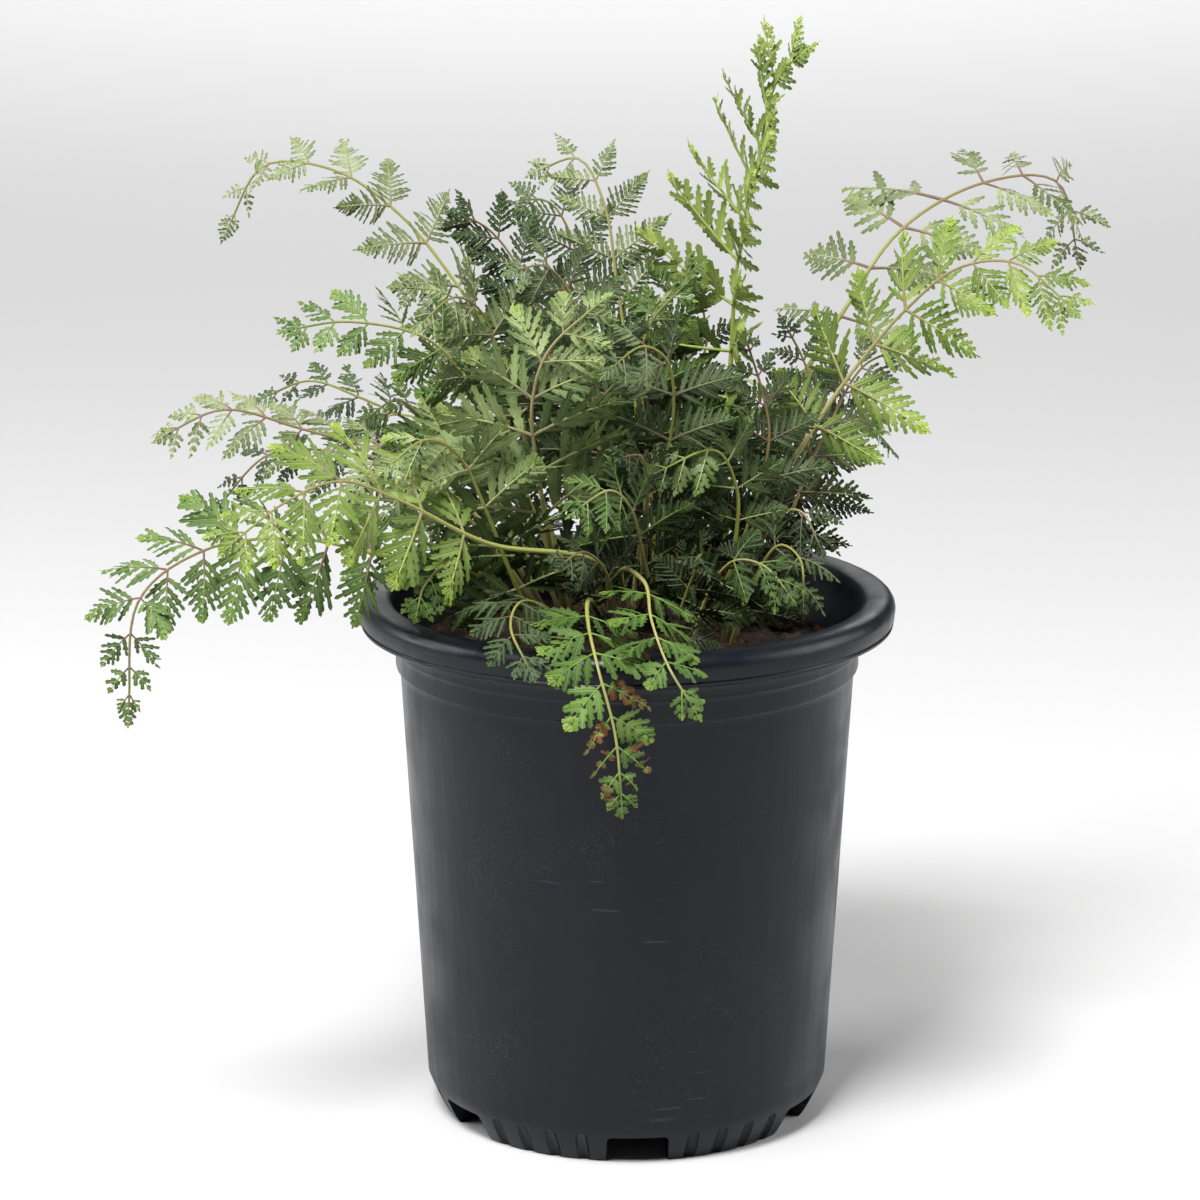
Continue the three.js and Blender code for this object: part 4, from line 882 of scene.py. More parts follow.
class Recipe:
    """A material's nodes, added one by one around a Principled shader."""

    MIX_SOCKETS: ClassVar[tuple[int, int, int]] = (0, 6, 7)
    MIX_RESULT: ClassVar[int] = 2

    def __init__(self, name: str, roughness: float, specular: float) -> None:
        """Starts a material.

        Args:
            name: The material's name.
            roughness: The shader's roughness, from 0 to 1.
            specular: The shader's specular level, from 0 to 1.
        """
        self.material = bpy.data.materials.new(name)
        self.material.use_nodes = True
        self.nodes = self.material.node_tree.nodes
        self.shader = self.nodes["Principled BSDF"]
        self.shader.inputs["Roughness"].default_value = roughness
        self.shader.inputs["Specular IOR Level"].default_value = specular
        self.place = self.add("ShaderNodeTexCoord").outputs["Object"]

    def add(self, kind: str, **settings: object) -> bpy.types.Node:
        """Adds a node and sets its properties."""
        node = self.nodes.new(kind)
        for name, value in settings.items():
            setattr(node, name, value)
        return node

    def join(self, source: object, socket: Socket) -> None:
        """Feeds a socket from another one, or sets it to a number or colour."""
        if isinstance(source, bpy.types.NodeSocket):
            self.material.node_tree.links.new(source, socket)
        else:
            socket.default_value = source

    def attribute(self, name: str) -> bpy.types.Node:
        """Reads one of the piece's own attributes."""
        return self.add("ShaderNodeAttribute", attribute_name=name)

    def stretched(self, scale: Sequence[float]) -> Socket:
        """Gives Object coordinates scaled along each axis."""
        node = self.add("ShaderNodeMapping")
        self.join(self.place, node.inputs["Vector"])
        self.join(scale, node.inputs["Scale"])
        return node.outputs["Vector"]

    def noise(self, scale: float, detail: float, vector: Socket | None = None) -> Socket:
        """Gives a noise from 0 to 1.

        Args:
            scale: How many lumps to a metre.
            detail: How many finer layers it has.
            vector: Where it is read; Object coordinates if it isn't given.

        Returns:
            The noise's socket.
        """
        node = self.add("ShaderNodeTexNoise")
        self.join(vector or self.place, node.inputs["Vector"])
        self.join(scale, node.inputs["Scale"])
        self.join(detail, node.inputs["Detail"])
        return node.outputs["Fac"]

    def maths(self, operation: str, first: object, second: object = 0.0) -> Socket:
        """Gives the result of one sum."""
        node = self.add("ShaderNodeMath", operation=operation)
        self.join(first, node.inputs[0])
        self.join(second, node.inputs[1])
        return node.outputs[0]

    def times(self, first: object, second: object) -> Socket:
        """Gives the product of two values."""
        return self.maths("MULTIPLY", first, second)

    def ranged(self, value: Socket, source: Span, target: Span) -> Socket:
        """Carries a value from one range to another, smoothly.

        Args:
            value: The value's socket.
            source: Its lowest and highest value.
            target: What they become.

        Returns:
            The new value's socket.
        """
        node = self.add("ShaderNodeMapRange", interpolation_type="SMOOTHSTEP")
        self.join(value, node.inputs["Value"])
        for name, number in zip(("From Min", "From Max", "To Min", "To Max"), (*source, *target)):
            self.join(number, node.inputs[name])
        return node.outputs["Result"]

    def blend(self, share: object, first: object, second: object, way: str = "MIX") -> Socket:
        """Blends two colours.

        Args:
            share: How much of the second one shows.
            first: The colour below.
            second: The colour over it.
            way: Blender's name for the kind of blend.

        Returns:
            The colour's socket.
        """
        node = self.add("ShaderNodeMix", data_type="RGBA", blend_type=way)
        for source, number in zip((share, first, second), self.MIX_SOCKETS):
            is_colour = isinstance(source, (tuple, np.ndarray))
            self.join((*source, 1.0) if is_colour else source, node.inputs[number])
        return node.outputs[self.MIX_RESULT]

    def relief(self, height: Socket, depth: float, below: Socket | None = None) -> Socket:
        """Raises the surface by a height, in metres, over any relief below it."""
        node = self.add("ShaderNodeBump")
        self.join(depth, node.inputs["Distance"])
        self.join(height, node.inputs["Height"])
        if below:
            self.join(below, node.inputs["Normal"])
        return node.outputs["Normal"]

    def done(self, base: Socket, roughness: Socket, normal: Socket) -> bpy.types.Material:
        """Joins the colour, roughness and relief to the shader and gives the material."""
        self.join(base, self.shader.inputs["Base Color"])
        self.join(roughness, self.shader.inputs["Roughness"])
        self.join(normal, self.shader.inputs["Normal"])
        return self.material


@dataclass(frozen=True)
class Grain:
    """One noise: its lumps to a metre, its finer layers, and how it is stretched along each axis."""

    scale: float
    detail: float
    stretch: Place | None = None

    def on(self, recipe: Recipe) -> Socket:
        """Adds the noise to a recipe."""
        where = recipe.stretched(self.stretch) if self.stretch else None
        return recipe.noise(self.scale, self.detail, where)


@dataclass(frozen=True)
class PotPlastic:
    """Black moulded plastic with faint upright streaks, scuffs and dust. Depths are in metres."""

    base: str = "0b0f17"
    scuffed: str = "343943"
    dust: str = "4a4540"
    gloss: Span = (0.3, 0.46)
    specular: float = 0.25
    clouds: Grain = Grain(38, 4)
    streaks: Grain = Grain(90, 3, (1, 1, 0.07))
    scratches: Grain = Grain(260, 2, (0.22, 0.22, 3.4))
    patches: Grain = Grain(22, 3)
    specks: Grain = Grain(1500, 2)
    waves: Grain = Grain(14, 2, (1, 1, 0.5))
    most_scuffed: float = 0.7
    most_dusty: float = 0.3
    worn_roughness: float = 0.25
    wave_depth: float = 0.0012
    streak_depth: float = 0.00035
    speck_depth: float = 0.00004

    def material(self) -> bpy.types.Material:
        """Mixes the plastic."""
        recipe = Recipe("pot_plastic", self.gloss[0], self.specular)
        clouds, streaks, specks = self.clouds.on(recipe), self.streaks.on(recipe), self.specks.on(recipe)
        scuffs = recipe.ranged(self.scratches.on(recipe), (0.66, 0.74), (0, self.most_scuffed))
        worn = recipe.times(scuffs, recipe.ranged(self.patches.on(recipe), (0.52, 0.66), (0, 1)))
        dusty = recipe.ranged(clouds, (0.5, 0.75), (0, self.most_dusty))
        dusty = recipe.times(dusty, recipe.ranged(specks, (0.5, 0.7), (0, 1)))
        tone = recipe.blend(worn, colour(self.base), colour(self.scuffed))
        tone = recipe.blend(dusty, tone, colour(self.dust))
        rough = recipe.ranged(clouds, (0.35, 0.65), self.gloss)
        rough = recipe.maths("ADD", rough, recipe.times(worn, self.worn_roughness))
        normal = recipe.relief(self.waves.on(recipe), self.wave_depth)
        normal = recipe.relief(streaks, self.streak_depth, normal)
        normal = recipe.relief(specks, self.speck_depth, normal)
        return recipe.done(tone, rough, normal)


@dataclass(frozen=True)
class PottingMixFinish:
    """Damp dark peat with paler fibres. Depths are in metres."""

    damp: str = "1d130d"
    dry: str = "3d2a1d"
    fibre: str = "6a4c33"
    gloss: Span = (0.75, 1.0)
    roughness: float = 0.9
    specular: float = 0.3
    lumps: Grain = Grain(120, 5)
    crumbs: Grain = Grain(620, 4)
    fibres: Grain = Grain(420, 2, (1, 0.25, 1))
    most_fibres: float = 0.6
    crumb_depth: float = 0.0011
    lump_depth: float = 0.003

    def material(self) -> bpy.types.Material:
        """Mixes the potting mix."""
        recipe = Recipe("potting_mix", self.roughness, self.specular)
        lumps, crumbs, fibres = self.lumps.on(recipe), self.crumbs.on(recipe), self.fibres.on(recipe)
        tone = recipe.blend(recipe.ranged(lumps, (0.35, 0.65), (0, 1)), colour(self.damp), colour(self.dry))
        fibrous = recipe.ranged(fibres, (0.62, 0.7), (0, self.most_fibres))
        tone = recipe.blend(fibrous, tone, colour(self.fibre))
        normal = recipe.relief(crumbs, self.crumb_depth, recipe.relief(lumps, self.lump_depth))
        return recipe.done(tone, recipe.ranged(crumbs, (0.3, 0.7), self.gloss), normal)


@dataclass(frozen=True)
class LeafFinish:
    """Thin leaf tissue with side veins, in the colours that the fronds carry.

    The veins are measured in millimetres and the depths in metres. shade is what the blotches
    multiply the leaf's colour by, and rib_tone shows a little along the veins.
    """

    vein_step: float = 0.9
    vein_lean: float = 0.75
    vein_strength: float = 0.5
    vein_depth: float = 0.00022
    skin_depth: float = 0.00012
    gloss: Span = (0.38, 0.56)
    specular: float = 0.24
    shade: Place = (0.78, 0.84, 0.68)
    most_shaded: float = 0.35
    rib_tone: str = "b9c88a"
    rib_share: float = 0.12
    blotches: Grain = Grain(160, 3)
    waxes: Grain = Grain(300, 2)
    skin: Grain = Grain(700, 2)

    def material(self) -> bpy.types.Material:
        """Mixes the leaf's surface."""
        recipe = Recipe("fern_leaf", self.gloss[1], self.specular)
        tone = recipe.attribute("leaf_colour").outputs["Color"]
        split = recipe.add("ShaderNodeSeparateXYZ")
        recipe.join(recipe.attribute("leaf_vein").outputs["Vector"], split.inputs[0])
        along, aside, leafy = split.outputs
        aside = recipe.maths("ABSOLUTE", aside)
        slope = recipe.times(aside, self.vein_lean)
        phase = recipe.maths("DIVIDE", recipe.maths("SUBTRACT", along, slope), self.vein_step)
        wave = recipe.maths("PINGPONG", phase, 0.5)
        vein = recipe.times(recipe.ranged(wave, (0.0, 0.2), (1, 0)), leafy)
        middle = recipe.times(recipe.ranged(aside, (0.05, 0.3), (1, 0)), leafy)
        ribs = recipe.maths("MAXIMUM", recipe.times(vein, self.vein_strength), middle)
        shaded = recipe.ranged(self.blotches.on(recipe), (0.35, 0.7), (0, self.most_shaded))
        tone = recipe.blend(shaded, tone, self.shade, "MULTIPLY")
        tone = recipe.blend(recipe.times(ribs, self.rib_share), tone, colour(self.rib_tone))
        rough = recipe.ranged(self.waxes.on(recipe), (0.3, 0.7), self.gloss)
        puff = recipe.maths("SUBTRACT", 1.0, ribs)
        normal = recipe.relief(self.skin.on(recipe), self.skin_depth)
        normal = recipe.relief(puff, self.vein_depth, normal)
        return recipe.done(tone, rough, normal)


@dataclass
class NurseryPot:
    """The moulded pot, turned ring by ring, with its drain gaps and flutes cut out of the foot.

    Lengths are in millimetres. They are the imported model's own, with the lip and the edges rounded.
    The lists of bends are steps outwards and upwards from a corner, and those of rings are shares of
    the way along it.
    """

    height: float = 168
    lip_radius: float = 84
    wall: float = 1.7
    floor_chamfer: float = 3
    foot_radius: float = 57.5
    foot_depth: float = 24
    foot_height: float = 9.3
    foot_wall: float = 3.2
    foot_side_wall: float = 2.4
    foot_flare: Span = (3.1, 4.6)
    heel: Span = (63.5, 12)
    body_top: Span = (71.2, 144)
    band: Span = (73.1, 151)
    neck: Span = (75, 157)
    lip_roll: float = 4.2
    gaps: int = 6
    gap_angle: float = 20
    gap_turn: float = 3
    gap_taper: float = 0.95
    gap_bevel: float = 1.6
    flutes: int = 4
    flute_pitch: float = 9.2
    flute_radius: float = 2.4
    flute_length: float = 9
    flute_lean: float = 27
    flute_middle: Span = (61.2, 4.1)
    spare: float = 1
    sides: int = 192
    sharpest: float = 32

    FLOOR_BEND: ClassVar[Span] = (-0.9, 0.7)
    INNER_RINGS: ClassVar[Sequence[float]] = (60, 110, 140)
    INNER_NECK: ClassVar[float] = 0.4
    LIP_INSIDE: ClassVar[Sequence[Span]] = ((0.35, -2.2), (1.2, -1), (2.8, -0.3))
    LIP_TURNS: ClassVar[Sequence[float]] = (90, 72, 54, 38, 22, 8, 0)
    LIP_BENDS: ClassVar[Sequence[Span]] = (
        (-0.35, 3.5), (-0.9, 2.7), (-0.55, 2.3), (-0.75, 1.5), (-1.5, 1.0), (-3.2, 0.8),
    )
    NECK_BENDS: ClassVar[Sequence[Span]] = ((2.4, 0.5), (0.6, -0.1), (-0.4, -1), (-1.5, -3.2))
    BAND_BENDS: ClassVar[Sequence[Span]] = ((0.25, 0.7), (-0.25, 0.1), (-0.55, -1))
    BODY_BENDS: ClassVar[Sequence[Span]] = ((1.45, 1.9), (1.25, 1.1), (0.5, 0.5), (0, -0.3), (-0.1, -2))
    BODY_RINGS: ClassVar[Sequence[float]] = (0.85, 0.7, 0.55, 0.4, 0.27, 0.15, 0.06, 0.015)
    FOOT_RINGS: ClassVar[Sequence[float]] = (0.0, 0.14, 0.28, 0.42, 0.56, 0.7, 0.82, 0.92)
    FOOT_EDGE: ClassVar[float] = 0.25
    LAST_RADIUS: ClassVar[float] = 1
    NEAR: ClassVar[float] = 0.1

    @property
    def turns(self) -> list[float]:
        """How far each drain gap stands round the pot, in radians."""
        return [math.radians(self.gap_turn + 360 / self.gaps * gap) for gap in range(self.gaps)]

    def inner_radius(self, height: float) -> float:
        """Gives the radius of the inner wall at a height."""
        share = (height - self.heel[1]) / (self.body_top[1] - self.heel[1])
        return self.heel[0] + (self.body_top[0] - self.heel[0]) * share - self.wall

    def inside(self) -> list[Span]:
        """Lists the rings from the floor up the inner wall and round the lip."""
        floor = self.foot_height + self.wall
        low = floor + self.floor_chamfer
        heel, neck = self.inner_radius(low), self.neck[0] - self.wall
        rings = [(heel - self.floor_chamfer, floor)]
        rings += [(heel + self.FLOOR_BEND[0], floor + self.FLOOR_BEND[1]), (heel, low)]
        rings += [(self.inner_radius(height), height) for height in (*self.INNER_RINGS, self.band[1])]
        rings += [(neck - self.INNER_NECK, self.neck[1]), (neck, self.height - self.lip_roll)]
        rings += [(neck + out, self.height + up) for out, up in self.LIP_INSIDE]
        for turn in self.LIP_TURNS:
            out, up = (self.lip_roll * (share - 1) for share in self.circle(turn))
            rings.append((self.lip_radius + out, self.height + up))
        return rings

    @staticmethod
    def circle(degrees: float) -> Span:
        """Gives the place on a circle of radius one at an angle."""
        return math.cos(math.radians(degrees)), math.sin(math.radians(degrees))

    def profile(self) -> list[Span]:
        """Lists the rings from the inner floor over the lip to the middle of the underside."""
        rings = self.inside()
        for corner, bends in (
            ((self.lip_radius, self.neck[1]), self.LIP_BENDS),
            (self.neck, self.NECK_BENDS),
            (self.band, self.BAND_BENDS),
            (self.body_top, self.BODY_BENDS),
        ):
            rings += [(corner[0] + out, corner[1] + up) for out, up in bends]
        for share in self.BODY_RINGS:
            rings.append(tuple(low + (high - low) * share for low, high in zip(self.heel, self.body_top)))
        bend = (self.foot_radius + self.foot_flare[0], self.foot_flare[1])
        for step in self.FOOT_RINGS:
            weights = (1 - step) ** 2, 2 * step * (1 - step), step**2
            corners = zip(self.heel, bend, (self.foot_radius, 0.0))
            rings.append(tuple(sum(w * c for w, c in zip(weights, axis)) for axis in corners))
        inner = self.foot_radius - self.foot_depth
        rings += [(self.foot_radius - self.FOOT_EDGE, 0), (inner, 0)]
        return [*rings, (inner, self.foot_height), (self.LAST_RADIUS, self.foot_height)]

    def gap_cutter(self, angle: float, more: float = 0) -> bpy.types.Object:
        """Makes a blank as deep as the feet that opens one drain gap, narrower at its top.

        Args:
            angle: Where the gap stands round the pot, in radians.
            more: What the blank is wider by on each side, in millimetres.

        Returns:
            The blank.
        """
        Bench.clear()
        inner = self.foot_radius - self.foot_depth - self.spare
        outer = self.heel[0] + 2 * self.spare
        half = self.foot_radius * math.tan(math.radians(self.gap_angle / 2)) + more
        middle = (0, -(inner + outer) / 2 * MM, (self.foot_height - self.spare) / 2 * MM)
        bpy.ops.mesh.primitive_cube_add(size=MM, location=middle)
        bpy.context.object.scale = (2 * half, outer - inner, self.foot_height + self.spare)
        cutter = Bench.settle()
        top, near = self.foot_height * MM, self.NEAR * MM
        for edge in cutter.data.edges:
            ends = [cutter.data.vertices[k].co for k in edge.vertices]
            edge.select = all(abs(end.z - top) < near for end in ends) and abs(ends[0].x - ends[1].x) < near
        bpy.ops.object.mode_set(mode="EDIT")
        bpy.ops.mesh.select_mode(type="EDGE")
        bpy.ops.transform.resize(value=(self.gap_taper, 1, 1), center_override=(0, 0, 0))
        bpy.ops.mesh.bevel(offset=self.gap_bevel * MM, segments=3)
        bpy.ops.mesh.select_all(action="SELECT")
        bpy.ops.transform.rotate(value=-angle, orient_axis="Z", center_override=(0, 0, 0))
        bpy.ops.object.mode_set(mode="OBJECT")
        return cutter

    def disc(self, radius: float, more: float = 0) -> bpy.types.Object:
        """Makes a disc from under the feet to their top, and longer at both ends by more."""
        Bench.clear()
        bpy.ops.mesh.primitive_cylinder_add(
            vertices=self.sides // 2, radius=radius * MM,
            depth=(self.foot_height + self.spare + 2 * more) * MM,
            location=(0, 0, (self.foot_height - self.spare) / 2 * MM),
        )
        return Bench.settle()

    def hollow_cutter(self) -> bpy.types.Object:
        """Makes a blank that hollows the feet from below, between the side walls of the drain gaps."""
        hollow = self.disc(self.foot_radius - self.foot_wall)
        Bench.cut(hollow, [self.disc(self.foot_radius - self.foot_depth + self.foot_wall, self.spare)])
        Bench.cut(hollow, [self.gap_cutter(turn, self.foot_side_wall) for turn in self.turns])
        return hollow

    def flute_cutter(self, angle: float) -> bpy.types.Object:
        """Makes a blank that presses one round-topped flute into the slant of the foot.

        Args:
            angle: Where the flute stands round the pot, in radians.

        Returns:
            The blank, a long ball that leans outwards with the foot.
        """
        Bench.clear()
        bpy.ops.mesh.primitive_uv_sphere_add(segments=20, ring_count=10, radius=self.flute_radius * MM)
        cutter = bpy.context.object
        bpy.ops.object.mode_set(mode="EDIT")
        bpy.ops.mesh.select_mode(type="VERT")
        bpy.ops.mesh.select_all(action="DESELECT")
        bpy.ops.object.mode_set(mode="OBJECT")
        for vertex in cutter.data.vertices:
            vertex.select = vertex.co.z > self.NEAR * MM
        bpy.ops.object.mode_set(mode="EDIT")
        bpy.ops.transform.translate(value=(0, 0, self.flute_length * MM))
        bpy.ops.mesh.select_all(action="SELECT")
        bpy.ops.transform.translate(value=(0, 0, -self.flute_length / 2 * MM))
        bpy.ops.object.mode_set(mode="OBJECT")
        out, height = self.flute_middle
        cutter.location = Vector((out * math.sin(angle), -out * math.cos(angle), height)) * MM
        cutter.rotation_euler = (math.radians(self.flute_lean), 0, angle)
        return Bench.settle()

    def build(self, material: bpy.types.Material) -> bpy.types.Object:
        """Builds and dresses the pot."""
        pot = Bench.turned("nursery_pot", self.profile(), self.sides)
        cutters = []
        for turn in self.turns:
            cutters.append(self.gap_cutter(turn))
            for flute in range(self.flutes):
                offset = (flute - (self.flutes - 1) / 2) * self.flute_pitch / self.foot_radius
                cutters.append(self.flute_cutter(turn + math.pi / self.gaps + offset))
        Bench.cut(pot, [*cutters, self.hollow_cutter()])
        Bench.smooth_shade(pot, self.sharpest)
        Bench.finish(pot, material, "pot_plastic", "pot")
        return pot


@dataclass
class PottingMix:
    """The potting mix that fills the pot, with a crumbly top.

    Lengths are in millimetres, but for the crumble's sizes and depths, which are in metres.
    """

    pot: NurseryPot
    edge: float = 149
    mound: float = 4
    lump: float = 1.1
    gap: float = 0.3
    rings: int = 34
    sides: int = 120
    crumble: Sequence[Span] = ((0.011, 0.0034), (0.0042, 0.0026), (0.0017, 0.0011))
    edge_fade: float = 12
    crumbs: int = 420
    scattered: float = 0.97
    crumb_size: Span = (0.5, 1.5)
    chip_share: float = 0.12
    chip_times: float = 2.2
    tilt: float = 0.5
    roughened: float = 0.3
    seed: int = 61
    sharpest: float = 60

    CRUMB_SHAPE: ClassVar[Sequence[Span]] = ((0.8, 1.8), (0.6, 1), (0.4, 0.8))
    CRUMB_RAISE: ClassVar[float] = 0.25
    CRUMB_NOISE: ClassVar[float] = 700
    LUMP_WAVES: ClassVar[Sequence[float]] = (0.19, 0.23, 0.11, 0.13)
    TOP_DEPTH: ClassVar[float] = 1

    @property
    def rim(self) -> float:
        """The radius of the bed at its edge."""
        return self.pot.inner_radius(self.edge) - self.gap

    @property
    def top(self) -> float:
        """The height above which a point is on the top, in metres."""
        return (self.edge - self.TOP_DEPTH) * MM

    def height(self, x: float, y: float) -> float:
        """Gives the height of the packed soil's surface at a place, in millimetres."""
        share = min(1.0, math.hypot(x, y) / self.pot.inner_radius(self.edge))
        first, second, third, fourth = self.LUMP_WAVES
        lumps = math.sin(x * first + 1) * math.cos(y * second) + math.sin(x * third - y * fourth)
        return self.edge + self.mound * (1 - share * share) + self.lump * lumps * (1 - share)

    def bed(self) -> bpy.types.Object:
        """Turns the bed, heaps its top and marks it with a vertex group."""
        floor = self.pot.foot_height + self.pot.wall + self.gap
        low = floor + self.pot.floor_chamfer - self.gap
        heel = self.pot.inner_radius(low) - self.gap
        profile = [(heel - self.pot.floor_chamfer - self.gap, floor), (heel, low), (self.rim, self.edge)]
        profile += [(self.rim * (1 - (k + 1) / (self.rings + 1)), self.edge) for k in range(self.rings)]
        bed = Bench.turned("potting_mix_bed", profile, self.sides)
        group = bed.vertex_groups.new(name="top")
        for vertex in bed.data.vertices:
            if vertex.co.z > self.top:
                x, y = vertex.co.xy / MM
                vertex.co.z = self.height(x, y) * MM
                share = math.hypot(x, y) / self.rim
                group.add([vertex.index], min(1.0, (1 - share) * self.edge_fade), "REPLACE")
        return bed

    def roughen(self, bed: bpy.types.Object) -> None:
        """Subdivides the top of the bed and crumbles it."""
        Bench.pick(bed)
        bpy.ops.object.mode_set(mode="EDIT")
        bpy.ops.mesh.select_all(action="DESELECT")
        bpy.ops.object.mode_set(mode="OBJECT")
        for polygon in bed.data.polygons:
            polygon.select = polygon.center.z > self.top
        bpy.ops.object.mode_set(mode="EDIT")
        bpy.ops.mesh.select_mode(type="FACE")
        bpy.ops.mesh.subdivide(number_cuts=1)
        bpy.ops.object.mode_set(mode="OBJECT")
        for size, strength in self.crumble:
            texture = bpy.data.textures.new("crumble", "CLOUDS")
            texture.noise_scale = size
            texture.noise_depth = 2
            modifier = bed.modifiers.new("crumble", "DISPLACE")
            modifier.texture = texture
            modifier.texture_coords = "LOCAL"
            modifier.direction = "Z"
            modifier.strength = strength
            modifier.vertex_group = "top"
            bpy.ops.object.modifier_apply(modifier=modifier.name)

    def scatter(self, bed: bpy.types.Object) -> None:
        """Joins loose crumbs and chips to the bed."""
        draw = random.Random(self.seed)
        noise.seed_set(self.seed)
        Bench.clear()
        crumbs = []
        bpy.ops.mesh.primitive_ico_sphere_add(subdivisions=1, radius=1)
        model = bpy.context.object
        for _ in range(self.crumbs):
            distance = self.rim * self.scattered * math.sqrt(draw.random())
            angle = draw.uniform(0, math.tau)
            x, y = distance * math.cos(angle), distance * math.sin(angle)
            size = draw.uniform(*self.crumb_size)
            size *= self.chip_times if draw.random() < self.chip_share else 1
            scale = [size * draw.uniform(*span) * MM for span in self.CRUMB_SHAPE]
            turn = Matrix.Rotation(draw.uniform(0, math.tau), 4, "Z")
            turn = turn @ Matrix.Rotation(draw.uniform(-self.tilt, self.tilt), 4, "X")
            raised = self.height(x, y) + size * self.CRUMB_RAISE
            place = Matrix.Translation(Vector((x, y, raised)) * MM)
            crumb = model.copy()
            crumb.data = model.data.copy()
            crumb.data.transform(place @ turn @ Matrix.Diagonal((*scale, 1)))
            for vertex in crumb.data.vertices:
                jitter = noise.noise_vector(vertex.co * self.CRUMB_NOISE)
                vertex.co += jitter * size * self.roughened * MM
            bpy.context.scene.collection.objects.link(crumb)
            crumbs.append(crumb)
        bpy.data.objects.remove(model)
        Bench.pick(bed)
        for crumb in crumbs:
            crumb.select_set(True)
        bpy.ops.object.join()

    def build(self, material: bpy.types.Material) -> bpy.types.Object:
        """Builds the bed, crumbles its top and scatters crumbs over it."""
        bed = self.bed()
        self.roughen(bed)
        self.scatter(bed)
        Bench.smooth_shade(bed, self.sharpest)
        Bench.finish(bed, material, "potting_mix", "soil")
        return bed


class Sheaf:
    """The points, faces and colours of one piece while it is put together, in millimetres."""

    SHARPEST: ClassVar[float] = 80

    def __init__(self) -> None:
        """Starts an empty sheaf."""
        self.points: list[np.ndarray] = []
        self.colours: list[np.ndarray] = []
        self.veins: list[np.ndarray] = []
        self.corners: list[np.ndarray] = []
        self.sizes: list[np.ndarray] = []
        self.count = 0

    def add(
        self, points: np.ndarray, faces: Sequence[np.ndarray], colours: np.ndarray, veins: np.ndarray
    ) -> None:
        """Adds points and the faces between them.

        Args:
            points: Places, one to a row.
            faces: Arrays of faces, each with one number of corners.
            colours: A colour for each point.
            veins: For each point, how far along and aside it is on its blade, and 1 on a blade.
        """
        self.points.append(points)
        self.colours.append(colours)
        self.veins.append(veins)
        for group in faces:
            self.corners.append((group + self.count).ravel())
            self.sizes.append(np.full(len(group), group.shape[1]))
        self.count += len(points)

    def tube(
        self, places: np.ndarray, ups: np.ndarray, radii: np.ndarray, colours: np.ndarray, sides: int
    ) -> None:
        """Adds a closed round tube.

        Args:
            places: The middle of each ring.
            ups: A direction across the line at each ring.
            radii: The radius of each ring.
            colours: The colour of each ring.
            sides: How many sides a ring has.
        """
        run = unit(np.gradient(places, axis=0))
        first = square_to(ups, run)
        second = np.cross(run, first)
        angles = (np.arange(sides) / sides * math.tau)[None, :, None]
        ring = first[:, None] * np.cos(angles) + second[:, None] * np.sin(angles)
        points = (places[:, None] + ring * radii[:, None, None]).reshape(-1, 3)
        rows = np.arange(len(places) - 1)[:, None] * sides
        here = rows + np.arange(sides)[None]
        after = rows + (np.arange(sides)[None] + 1) % sides
        quads = np.stack([here, after, after + sides, here + sides], -1).reshape(-1, 4)
        last = (len(places) - 1) * sides
        caps = np.stack([np.arange(sides)[::-1], last + np.arange(sides)])
        self.add(points, [quads, caps], np.repeat(colours, sides, axis=0), np.zeros_like(points))

    def piece(self, name: str) -> bpy.types.Object:
        """Makes the sheaf one Blender object in metres."""
        mesh = bpy.data.meshes.new(name)
        sizes = np.concatenate(self.sizes)
        corners = np.concatenate(self.corners)
        mesh.vertices.add(self.count)
        mesh.loops.add(len(corners))
        mesh.polygons.add(len(sizes))
        mesh.vertices.foreach_set("co", (np.vstack(self.points) * MM).ravel())
        mesh.loops.foreach_set("vertex_index", corners)
        mesh.polygons.foreach_set("loop_start", np.concatenate([[0], np.cumsum(sizes)[:-1]]))
        shade = mesh.attributes.new("leaf_colour", "FLOAT_COLOR", "POINT")
        opaque = np.column_stack([np.vstack(self.colours), np.ones(self.count)])
        shade.data.foreach_set("color", opaque.ravel())
        vein = mesh.attributes.new("leaf_vein", "FLOAT_VECTOR", "POINT")
        vein.data.foreach_set("vector", np.vstack(self.veins).ravel())
        mesh.update(calc_edges=True)
        mesh.validate()
        mesh.shade_smooth()
        mesh.set_sharp_from_angle(angle=math.radians(self.SHARPEST))
        piece = bpy.data.objects.new(name, mesh)
        bpy.context.scene.collection.objects.link(piece)
        return piece


